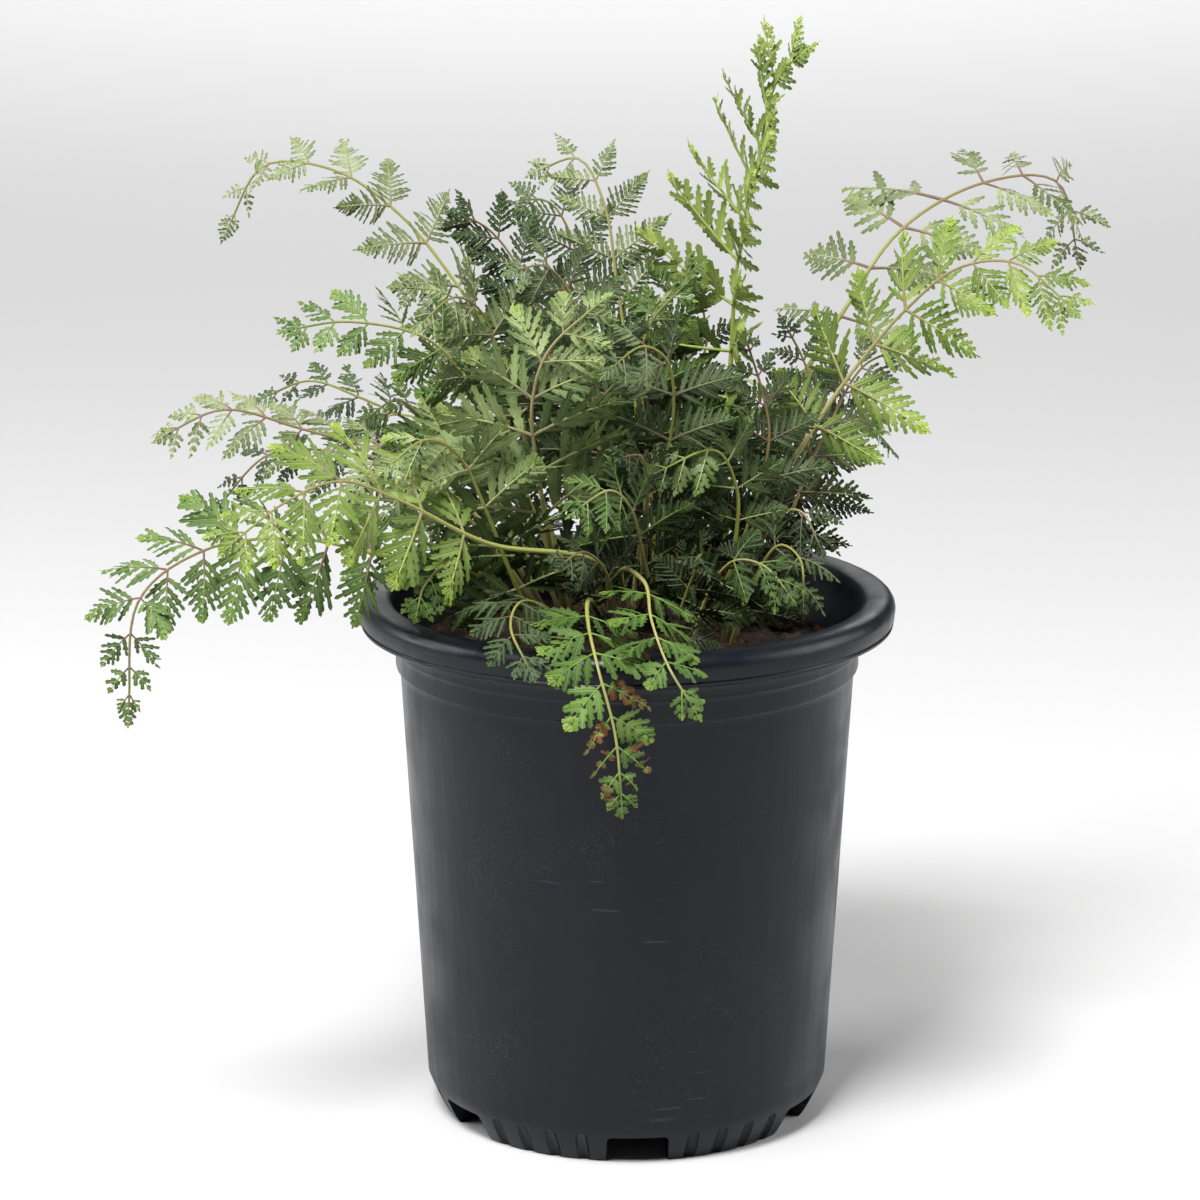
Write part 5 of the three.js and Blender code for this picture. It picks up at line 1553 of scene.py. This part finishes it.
class Mould:
    """A toothed blade, modelled once for each number of teeth and copied to every pinnule.

    It runs from 0 to 1 along X, its teeth reach 1 to both sides along Y, and its two faces bulge to
    1 along Z. The teeth take up a share of its length, and their tips lean forwards by a share of
    the way to the next notch.
    """

    TOOTHED: ClassVar[float] = 0.95
    TOOTH_TIP: ClassVar[float] = 0.62
    NOTCH: ClassVar[float] = 0.5
    FORWARD: ClassVar[float] = 0.62
    END_WIDTH: ClassVar[float] = 0.05
    THINNED: ClassVar[float] = 0.8
    BASE_WIDTH: ClassVar[float] = 0.62
    WIDE_AT: ClassVar[float] = 0.4
    NARROWING: ClassVar[Span] = (2.2, 0.74)
    LEANING: ClassVar[Span] = (0.05, 0.99)
    TIP_SHARE: ClassVar[float] = 0.9

    def __init__(self, teeth: int) -> None:
        """Models the blade with this many teeth on a side."""
        Bench.clear()
        upright = (0, math.pi / 2, 0)
        bpy.ops.mesh.primitive_circle_add(vertices=4, radius=1, fill_type="NGON", rotation=upright)
        blade = Bench.settle()
        Bench.edit_all()
        place, width, bulge = 0.0, self.width(0.0), 1.0
        bpy.ops.transform.resize(value=(1, width, 1), center_override=(0, 0, 0))
        for next_place, next_width in self.stations(teeth):
            next_bulge = 1 - self.THINNED * next_place
            Bench.extrude((next_place - place, 0, 0), (1, next_width / width, next_bulge / bulge))
            place, width, bulge = next_place, next_width, next_bulge
        bpy.ops.mesh.merge(type="CENTER")
        bpy.ops.mesh.select_mode(type="VERT")
        bpy.ops.mesh.select_all(action="DESELECT")
        bpy.ops.object.mode_set(mode="OBJECT")
        low, high = self.LEANING
        for vertex in blade.data.vertices:
            across, along = abs(vertex.co.y), vertex.co.x
            vertex.select = low < along < high and across > self.TIP_SHARE * self.width(along)
        bpy.ops.object.mode_set(mode="EDIT")
        lean = self.FORWARD * self.TOOTHED / teeth * (1 - self.TOOTH_TIP)
        bpy.ops.transform.translate(value=(lean, 0, 0))
        bpy.ops.mesh.select_all(action="SELECT")
        bpy.ops.mesh.normals_make_consistent(inside=False)
        bpy.ops.object.mode_set(mode="OBJECT")
        self.points = np.array([vertex.co[:] for vertex in blade.data.vertices])
        corners = [tuple(polygon.vertices) for polygon in blade.data.polygons]
        self.faces = [np.array([c for c in corners if len(c) == size]) for size in (3, 4)]
        bpy.data.objects.remove(blade)

    def stations(self, teeth: int) -> list[Span]:
        """Lists the tips and notches along the blade, each with its width, and the end."""
        found = []
        step = self.TOOTHED / teeth
        for tooth in range(teeth):
            start = self.TOOTHED * tooth / teeth
            tip = start + step * self.TOOTH_TIP
            found.append((tip, self.width(tip)))
            if tooth < teeth - 1:
                found.append((start + step, self.width(start + step) * self.NOTCH))
        return [*found, (1.0, self.END_WIDTH)]

    @classmethod
    def width(cls, place: float) -> float:
        """Gives how wide the toothed outline is at a share of the blade."""
        power, root = cls.NARROWING
        grown = cls.BASE_WIDTH + (1 - cls.BASE_WIDTH) * smooth(0, cls.WIDE_AT, place)
        return float(grown * (1 - place**power) ** root)


@dataclass
class Pinnules:
    """Where a number of pinnules stand, one to a row: places, directions and sizes in millimetres.

    join is the share of its width that a pinnule has at its base, droop and fold how much its blade
    bends down and how far its halves lift, out how far along the leaflet it stands, dead how brown
    it is, and shade how far its colour strays.
    """

    base: np.ndarray
    run: np.ndarray
    normal: np.ndarray
    length: np.ndarray
    half: np.ndarray
    join: np.ndarray
    droop: np.ndarray
    fold: np.ndarray
    out: np.ndarray
    dead: np.ndarray
    shade: np.ndarray

    @staticmethod
    def stacked(sets: Sequence["Pinnules"]) -> "Pinnules":
        """Puts several sets of pinnules in one."""
        names = [item.name for item in fields(Pinnules)]
        return Pinnules(*(np.concatenate([getattr(one, name) for one in sets]) for name in names))

    def chosen(self, which: np.ndarray) -> "Pinnules":
        """Keeps the pinnules that a mask names."""
        return Pinnules(*(getattr(self, item.name)[which] for item in fields(self)))


@dataclass(frozen=True)
class StalkShape:
    """How a stalk is built. Radii are shares of the solid stalk's, and places shares of its line."""

    rings: int = 56
    sides: int = 8
    start: float = 0.075
    end: float = 0.97
    point: Sequence[Span] = ((0.985, 0.7), (0.997, 0.35))
    slimmer: float = 0.98
    swelling: float = 0.25
    swollen: Span = (0.05, 0.3)
    thinning: float = 0.3
    thinned: Span = (-0.15, 0.25)
    tan_step: float = 0.35
    rooty: Span = (0.12, 0.42)
    most_purple: float = 0.75
    purpled: Span = (0, 0.7)
    greened: Span = (0.75, 1.0)
    most_green: float = 0.7


@dataclass(frozen=True)
class RibShape:
    """How the rib of a leaflet is built. Radii are in millimetres."""

    rings: Sequence[float] = (0.0, 0.08, 0.2, 0.36, 0.52, 0.68, 0.84, 0.97)
    sides: int = 5
    thickness: float = 0.02
    radii: Span = (0.32, 0.62)
    thinning: float = 0.72
    silver: float = 0.6
    purpled: Span = (0.1, 0.75)


@dataclass(frozen=True)
class Growth:
    """How pinnules stand on a leaflet and stray from their rule.

    Angles are in degrees and lengths in millimetres. A pair of numbers is a range, or the start and
    the end of a change along the leaflet.
    """

    fewest: int = 3
    first: float = 1.4
    offset: float = 0.35
    crowding: float = 1.22
    end_out: float = 0.93
    end_share: float = 0.97
    end_length: Span = (0.12, 0.6)
    end_breadth: float = 0.55
    twist: Span = (13, 20)
    slant_gain: float = 20
    slant_spread: float = 2.5
    fold: Span = (-20, 12)
    fold_spread: float = 6
    withered_fold: float = 55
    pitch: Span = (-5, 10)
    roll_spread: float = 14
    reach: Span = (0.7, 1.9)
    reach_power: float = 0.95
    reach_times: float = 1.12
    reach_least: float = 0.05
    reach_spread: float = 0.06
    reach_stray: float = 0.12
    join_base: float = 0.5
    join_gain: float = 0.9
    joined: Span = (0.15, 0.7)
    withers: Span = (0.3, 0.75)
    dying_leaflets: float = 3
    dying_pinnules: float = 0.3
    browning: Span = (0.4, 1)
    brown_edge: float = 0.08
    brown_spread: float = 0.05
    droop: Span = (0.04, 0.2)
    dead_droop: float = 0.6
    curve: Span = (-0.55, 0.3)
    shade_spread: float = 0.35


@dataclass(frozen=True)
class Shading:
    """How the colours run over a frond's blades.

    A pair of numbers says where a change starts and ends, as a share of a blade, of a leaflet, or in
    millimetres from the crown, near which painted shade makes the leaves darker and deeper green.
    """

    far: Span = (0.85, 0.35)
    silvered: Span = (0.25, 0.95)
    silver_share: Span = (0.85, 0.25)
    young_leaflet: Span = (0.6, 1)
    young_blade: Span = (0.75, 1)
    young_share: Span = (0.75, 0.3)
    browned: Span = (0.15, 0.6)
    brown_times: float = 1.3
    under_share: float = 0.35
    under_tone: float = 0.82
    # Painted shade near the crown: where it is centred, where it fades out, how dark it gets and how it
    # tints.
    crown: Place = (4, 14, 150)
    deep_to_light: Span = (40, 128)
    deepest: float = 0.12
    deep_hue: Place = (1.08, 0.9, 1.22)
    albedo: float = 0.62
    stray: float = 0.13


@dataclass
class Frond:
    """One frond in leaf: its round stalk, the ribs of its leaflets and their toothed pinnules."""

    plan: FrondPlan
    index: int
    moulds: dict[int, Mould]
    colours: RibColours = RibColours()
    shape: StalkShape = StalkShape()
    ribs: RibShape = RibShape()
    growth: Growth = Growth()
    shading: Shading = Shading()
    line: FrondLine = field(init=False)
    chance: np.random.Generator = field(init=False)
    sheaf: Sheaf = field(init=False)

    FIRST_SEED: ClassVar[int] = 500
    THICKNESS: ClassVar[float] = 0.26
    TOOTH_LENGTHS: ClassVar[Sequence[float]] = (2.4, 4.2, 7.5)
    JOINED: ClassVar[float] = 0.34
    HEEL_REACH: ClassVar[float] = 0.35
    UNDERSIDE: ClassVar[float] = -0.01
    WIDEST: ClassVar[float] = 1.25
    ROOM: ClassVar[Span] = (1.1, 1.2)
    NARROWEST: ClassVar[float] = 0.24
    LEAST_CLEAR: ClassVar[float] = 0.1
    WITHERED_WIDTH: ClassVar[float] = 0.45
    END_LENGTH: ClassVar[Span] = (1.15, 2.5)
    END_WIDTH: ClassVar[Span] = (0.3, 0.8)
    END_SAG: ClassVar[float] = 0.05

    def __post_init__(self) -> None:
        """Lays the frond's line."""
        self.line = FrondLine(self.plan)
        self.chance = np.random.default_rng(self.FIRST_SEED + self.index)
        self.sheaf = Sheaf()

    @cached_property
    def cut(self) -> Cut:
        """How finely the leaflets are cut."""
        return habit_of(self.plan.name)

    def stalk(self) -> None:
        """Adds the stalk and midrib from under the soil to the tip."""
        shape, bare = self.shape, self.plan.bare
        points, ends = zip(*shape.point)
        shares = np.concatenate([np.linspace(shape.start * bare, shape.end, shape.rings), points])
        frames = [self.line.frame(share) for share in shares]
        places = np.array([item[0] for item in frames])
        ups = np.array([item[2] for item in frames])
        radii = np.array([self.line.half_width(share) for share in shares]) * shape.slimmer
        radii *= 1 + shape.swelling * (1 - smooth(*shape.swollen, shares))
        radii *= 1 - shape.thinning * smooth(bare + shape.thinned[0], bare + shape.thinned[1], shares)
        radii[-len(ends) :] *= ends
        blade = (shares - bare) / (1 - bare)
        tanned = np.full(len(shares), shape.tan_step * (self.index % 3))
        stalk = mix(colour(self.colours.stalk), colour(self.colours.tan), tanned)
        tone = mix(colour(self.colours.root), stalk, smooth(*shape.rooty, shares))
        purple = shape.most_purple * self.plan.wine * smooth(*shape.purpled, blade)
        tone = mix(tone, colour(self.colours.wine), purple)
        tone = mix(tone, self.plan.tint.margin, smooth(*shape.greened, blade) * shape.most_green)
        self.sheaf.tube(places, ups, radii, tone, shape.sides)

    def rib(self, leaflet: Leaflet) -> None:
        """Adds the rib of one leaflet."""
        shape, tint = self.ribs, self.plan.tint
        outs = np.array(shape.rings)
        places, ups = leaflet.middle(outs), leaflet.frame(outs)[2]
        thick = min(max(shape.thickness * leaflet.length, shape.radii[0]), shape.radii[1])
        radii = thick * (1 - shape.thinning * outs)
        green = mix(tint.margin, tint.silver, np.full(len(outs), shape.silver))
        purple = self.plan.wine * (1 - smooth(*shape.purpled, outs))
        self.sheaf.tube(places, ups, radii, mix(green, colour(self.colours.wine), purple), shape.sides)

    def directions(
        self, leaflet: Leaflet, out: np.ndarray, share: np.ndarray, side: np.ndarray, withered: bool
    ) -> tuple[np.ndarray, np.ndarray]:
        """Points the pinnules of one leaflet.

        Args:
            leaflet: The leaflet.
            out: Where each pinnule stands along it.
            share: The same, as a share of the leafy part.
            side: -1 or 1 for each pinnule, and 0 for the one at the end.
            withered: Whether the leaflet has withered to a brown roll.

        Returns:
            The way each pinnule runs and the way its upper face looks.
        """
        grow, chance, count = self.growth, self.chance, len(out)
        run, wide, normal = leaflet.frame(out)
        twist = chance.normal(0, grow.twist[0]) + chance.normal(0, grow.twist[1]) * out
        wide, normal = swing(wide, normal, np.radians(twist))
        slant = self.cut.slant + grow.slant_gain * share + chance.normal(0, grow.slant_spread, count)
        slant[-1] = 90
        fold = chance.uniform(*grow.fold) + chance.normal(0, grow.fold_spread, count)
        fold = np.radians(fold + (grow.withered_fold if withered else 0))
        outward = wide * (side * np.cos(fold))[:, None] + normal * np.sin(fold)[:, None]
        way = unit(swing(outward, run, np.radians(slant))[0])
        face = square_to(normal, way)
        way, face = swing(way, face, np.radians(chance.normal(*grow.pitch, count)))
        roll = np.radians(chance.normal(0, grow.roll_spread, count))
        return way, swing(face, np.cross(face, way), roll)[0]

    def withering(self, out: np.ndarray, withered: bool) -> np.ndarray:
        """Says how brown each pinnule of one leaflet is, from 0 to 1."""
        grow, chance, count = self.growth, self.chance, len(out)
        withers = 2.0
        if chance.random() < grow.dying_leaflets * self.plan.dead:
            withers = chance.uniform(*grow.withers)
        withers = -1.0 if withered else withers
        dying = chance.random(count) < grow.dying_pinnules * self.plan.dead
        dead = dying * chance.uniform(*grow.browning, count)
        place = out + chance.normal(0, grow.brown_spread, count)
        return np.maximum(dead, smooth(withers - grow.brown_edge, withers + grow.brown_edge, place))

    def pinnules(self, leaflet: Leaflet, half: float, withered: bool) -> Pinnules:
        """Sets the pinnules out along one leaflet.

        Args:
            leaflet: The leaflet.
            half: Half the leaflet's width where it is widest.
            withered: Whether the leaflet has withered to a brown roll.

        Returns:
            The pinnules.
        """
        cut, grow, chance, length = self.cut, self.growth, self.chance, leaflet.length
        spacing = max(cut.spacing * length, cut.least)
        start = max(self.plan.stalked, grow.first / length)
        number = max(grow.fewest, round((1 - start) * length / spacing))
        even = np.repeat((np.arange(number) + grow.offset) / number, 2)
        share = 1 - (1 - even) ** grow.crowding
        room = (1 - start) * length / number * grow.crowding * (1 - even) ** (grow.crowding - 1)
        out = np.append(start + (1 - start) * share, grow.end_out)
        share = np.append(share, grow.end_share)
        side = np.append(np.tile([-1.0, 1.0], number), 0.0)
        count = len(out)
        way, face = self.directions(leaflet, out, share, side, withered)
        least, gain = grow.reach
        grown = np.minimum(1, least + gain * share) * (1 - share) ** grow.reach_power
        grown = grown * grow.reach_times + grow.reach_least
        reach = half * grown / np.cos(np.radians(cut.slant + grow.slant_gain * share))
        stray = chance.normal(0, grow.reach_spread, count)
        reach *= 1 + np.clip(stray, -grow.reach_stray, grow.reach_stray)
        reach[-1] = length * grow.end_length[0] + grow.end_length[1]
        breadth = np.append(0.5 * room * cut.fullness, 0.5 * spacing * grow.end_breadth)
        breadth = np.minimum(breadth * np.cos(np.radians(cut.slant)), cut.stoutest * reach)
        join = grow.join_base * cut.join + grow.join_gain * smooth(*grow.joined, share)
        dead = self.withering(out, withered)
        droop = chance.uniform(*grow.droop, count) + grow.dead_droop * dead
        curve = chance.uniform(*grow.curve, count)
        shade = np.full(count, chance.normal(0, 1)) + chance.normal(0, grow.shade_spread, count)
        base = leaflet.middle(out)
        return Pinnules(base, way, face, reach, breadth, join, droop, curve, out, dead, shade)

    def tone(self, blades: Pinnules, mould: Mould) -> np.ndarray:
        """Colours the points of a set of blades."""
        rule = self.shading
        tint = self.plan.tint
        silver, margin, tip = (c[None, None] for c in (tint.silver, tint.margin, tint.tip))
        along, aside, bulge = mould.points.T
        far = np.clip(along * rule.far[0] + np.abs(aside) * rule.far[1], 0, 1)[None]
        least, gain = rule.silver_share
        silvered = (1 - smooth(*rule.silvered, far)) * (least + gain * blades.shade[:, None])
        tone = mix(margin, silver, np.clip(silvered, 0, 1))
        young = smooth(*rule.young_leaflet, blades.out)[:, None] * rule.young_share[0]
        young = young + smooth(*rule.young_blade, far) * rule.young_share[1]
        tone = mix(tone, tip, np.clip(young, 0, 1))
        brown = blades.dead[:, None] * smooth(*rule.browned, along)[None]
        dead = colour(self.colours.dead)[None, None]
        tone = mix(tone, dead, np.clip(brown * rule.brown_times, 0, 1))
        under = np.broadcast_to((bulge < self.UNDERSIDE)[None] * rule.under_share, tone.shape[:2])
        tone = mix(tone, silver * rule.under_tone, under)
        # Painted shade: pinnules near the crown are darkened and tinted deeper green, standing in for the
        # shade among the fronds.
        outer = np.linalg.norm(blades.base - np.array(rule.crown), axis=1)
        crown_shade = rule.deepest + (1 - rule.deepest) * smooth(*rule.deep_to_light, outer)
        lit = rule.albedo * (1 + rule.stray * np.clip(blades.shade, -2, 2))
        return tone * (lit[:, None] * np.power(crown_shade[:, None], rule.deep_hue))[:, None, :]

    def stamp(self, blades: Pinnules, mould: Mould) -> None:
        """Copies the moulded blade to each place."""
        along, aside, bulge = (axis[None] for axis in mould.points.T)
        join, length = blades.join[:, None], blades.length[:, None]
        breadth = blades.half[:, None] * aside * (join + (1 - join) * smooth(0, self.JOINED, along))
        reach = length * along + np.abs(breadth) * self.HEEL_REACH * (1 - along)
        lift = self.THICKNESS / 2 * bulge - blades.droop[:, None] * length * along**2
        lift = lift + blades.fold[:, None] * np.abs(breadth)
        wide = np.cross(blades.normal, blades.run)
        points = blades.base[:, None]
        for way, amount in ((blades.run, reach), (wide, breadth), (blades.normal, lift)):
            points = points + way[:, None] * amount[..., None]
        offsets = np.arange(len(blades.length))[:, None, None] * len(mould.points)
        faces = [(group[None] + offsets).reshape(-1, group.shape[1]) for group in mould.faces if len(group)]
        veins = np.stack([reach, breadth, np.ones_like(reach)], -1)
        tones = self.tone(blades, mould).reshape(-1, 3)
        self.sheaf.add(points.reshape(-1, 3), faces, tones, veins.reshape(-1, 3))

    def leaflets(self) -> list[tuple[Leaflet, float, bool]]:
        """Finds each leaflet, half its width, and whether it has withered."""
        found = []
        for number, leaflet in SolidFrond(self.line, self.index).leaflets():
            share = self.line.pair(number)[1]
            after = self.line.pair(number + 1)[1] if number + 1 < self.plan.pairs else 1.0
            room = (after - share) * self.line.sweep.length
            side_share = abs(float(leaflet.way @ unit(leaflet.along)))
            clear = math.sqrt(max(1 - side_share**2, self.LEAST_CLEAR))
            most = max(self.ROOM[0] * room * clear + self.ROOM[1], self.NARROWEST * leaflet.length)
            half = min(self.plan.width * leaflet.length * self.WIDEST, most)
            withered = (number, leaflet.side) in self.plan.withered
            found.append((leaflet, half * (self.WITHERED_WIDTH if withered else 1), withered))
        place, along, up, _ = self.line.frame(self.line.pair(self.plan.pairs - 1)[1])
        rest = self.line.sweep.at(1.0) - place
        length = float(np.linalg.norm(rest)) * self.END_LENGTH[0] + self.END_LENGTH[1]
        end = Leaflet(place, unit(rest), along, up, 1, length, self.END_SAG, 0.0)
        found.append((end, self.END_WIDTH[0] * length + self.END_WIDTH[1], False))
        return found

    def build(self, material: bpy.types.Material) -> bpy.types.Object:
        """Builds and dresses the frond."""
        self.stalk()
        sets = []
        for leaflet, half, withered in self.leaflets():
            self.rib(leaflet)
            sets.append(self.pinnules(leaflet, half, withered))
        blades = Pinnules.stacked(sets)
        teeth = np.minimum(np.digitize(blades.length, self.TOOTH_LENGTHS) + 1, self.cut.teeth)
        for number in sorted(set(teeth)):
            self.stamp(blades.chosen(teeth == number), self.moulds[int(number)])
        piece = self.sheaf.piece(f"leafy_{self.plan.name}")
        Bench.finish(piece, material, "fern_leaf", f"frond_{self.plan.name}")
        return piece


@dataclass(frozen=True)
class Lamp:
    """A square soft lamp: where it hangs, its side, its power in watts and what it looks at, in metres."""

    name: str
    place: Place
    size: float
    power: float
    aim: Place = (0, 0, 0.17)

    def hang(self) -> None:
        """Hangs the lamp."""
        data = bpy.data.lights.new(self.name, "AREA")
        data.size = self.size
        data.energy = self.power
        lamp = bpy.data.objects.new(self.name, data)
        lamp.location = self.place
        look = Vector(self.aim) - Vector(self.place)
        lamp.rotation_euler = look.to_track_quat("-Z", "Y").to_euler()
        bpy.context.scene.collection.objects.link(lamp)


@dataclass
class Studio:
    """The camera, the pale floor and the soft light. Lengths are in metres, the sensor in millimetres."""

    camera_place: Place = (-0.0085, -1.4554, 0.5279)
    pitch: float = 14
    focal_pixels: float = 4786
    image_width: float = 1200
    sensor: float = 36
    farthest: float = 50
    floor_size: float = 12
    floor_tone: float = 0.55
    floor_roughness: float = 0.9
    floor_specular: float = 0.1
    sky: float = 0.06
    lamps: Sequence[Lamp] = (
        Lamp("left_softbox", (-1.5, 0.1, 0.8), 1.0, 24),
        Lamp("right_softbox", (1.5, 0.05, 0.8), 1.0, 21),
        Lamp("top_softbox", (-0.4, -0.9, 1.7), 0.6, 62),
        Lamp("floor_softbox", (0.0, 3.6, 1.6), 3.0, 90, (0.0, 3.6, 0.0)),
    )

    def camera(self) -> None:
        """Sets the camera where the photograph was taken from."""
        data = bpy.data.cameras.new("studio_camera")
        data.sensor_width = self.sensor
        data.lens = self.focal_pixels / self.image_width * self.sensor
        data.clip_end = self.farthest
        camera = bpy.data.objects.new("studio_camera", data)
        camera.location = self.camera_place
        camera.rotation_euler = (math.radians(90 - self.pitch), 0, 0)
        bpy.context.scene.collection.objects.link(camera)
        bpy.context.scene.camera = camera

    def floor(self) -> None:
        """Lays the pale floor."""
        Bench.clear()
        bpy.ops.mesh.primitive_plane_add(size=self.floor_size, location=(0, 0, 0))
        floor = bpy.context.object
        floor.name = "studio_floor"
        recipe = Recipe("studio_floor", self.floor_roughness, self.floor_specular)
        tone = (self.floor_tone, self.floor_tone, self.floor_tone, 1)
        recipe.join(tone, recipe.shader.inputs["Base Color"])
        floor.data.materials.append(recipe.material)

    def build(self) -> None:
        """Sets up the whole studio."""
        self.camera()
        self.floor()
        for lamp in self.lamps:
            lamp.hang()
        world = bpy.data.worlds.new("studio_world")
        world.use_nodes = True
        world.node_tree.nodes["Background"].inputs["Color"].default_value = (1, 1, 1, 1)
        world.node_tree.nodes["Background"].inputs["Strength"].default_value = self.sky
        bpy.context.scene.world = world
        bpy.context.scene.view_settings.view_transform = "Standard"


def main() -> None:
    """Builds the pot, the potting mix and every frond, and sets the studio round them."""
    logging.basicConfig(level=logging.INFO, format="%(name)s: %(message)s")
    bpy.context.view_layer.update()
    pot = NurseryPot()
    pot.build(PotPlastic().material())
    PottingMix(pot).build(PottingMixFinish().material())
    leaf = LeafFinish().material()
    moulds = {teeth: Mould(teeth) for teeth in (1, 2, 3, 4)}
    triangles = 0
    for index, plan in enumerate(FRONDS):
        piece = Frond(plan, index, moulds).build(leaf)
        triangles += sum(len(polygon.vertices) - 2 for polygon in piece.data.polygons)
    LOG.info("the fronds have %d triangles", triangles)
    Studio().build()


if __name__ == "__main__":
    main()
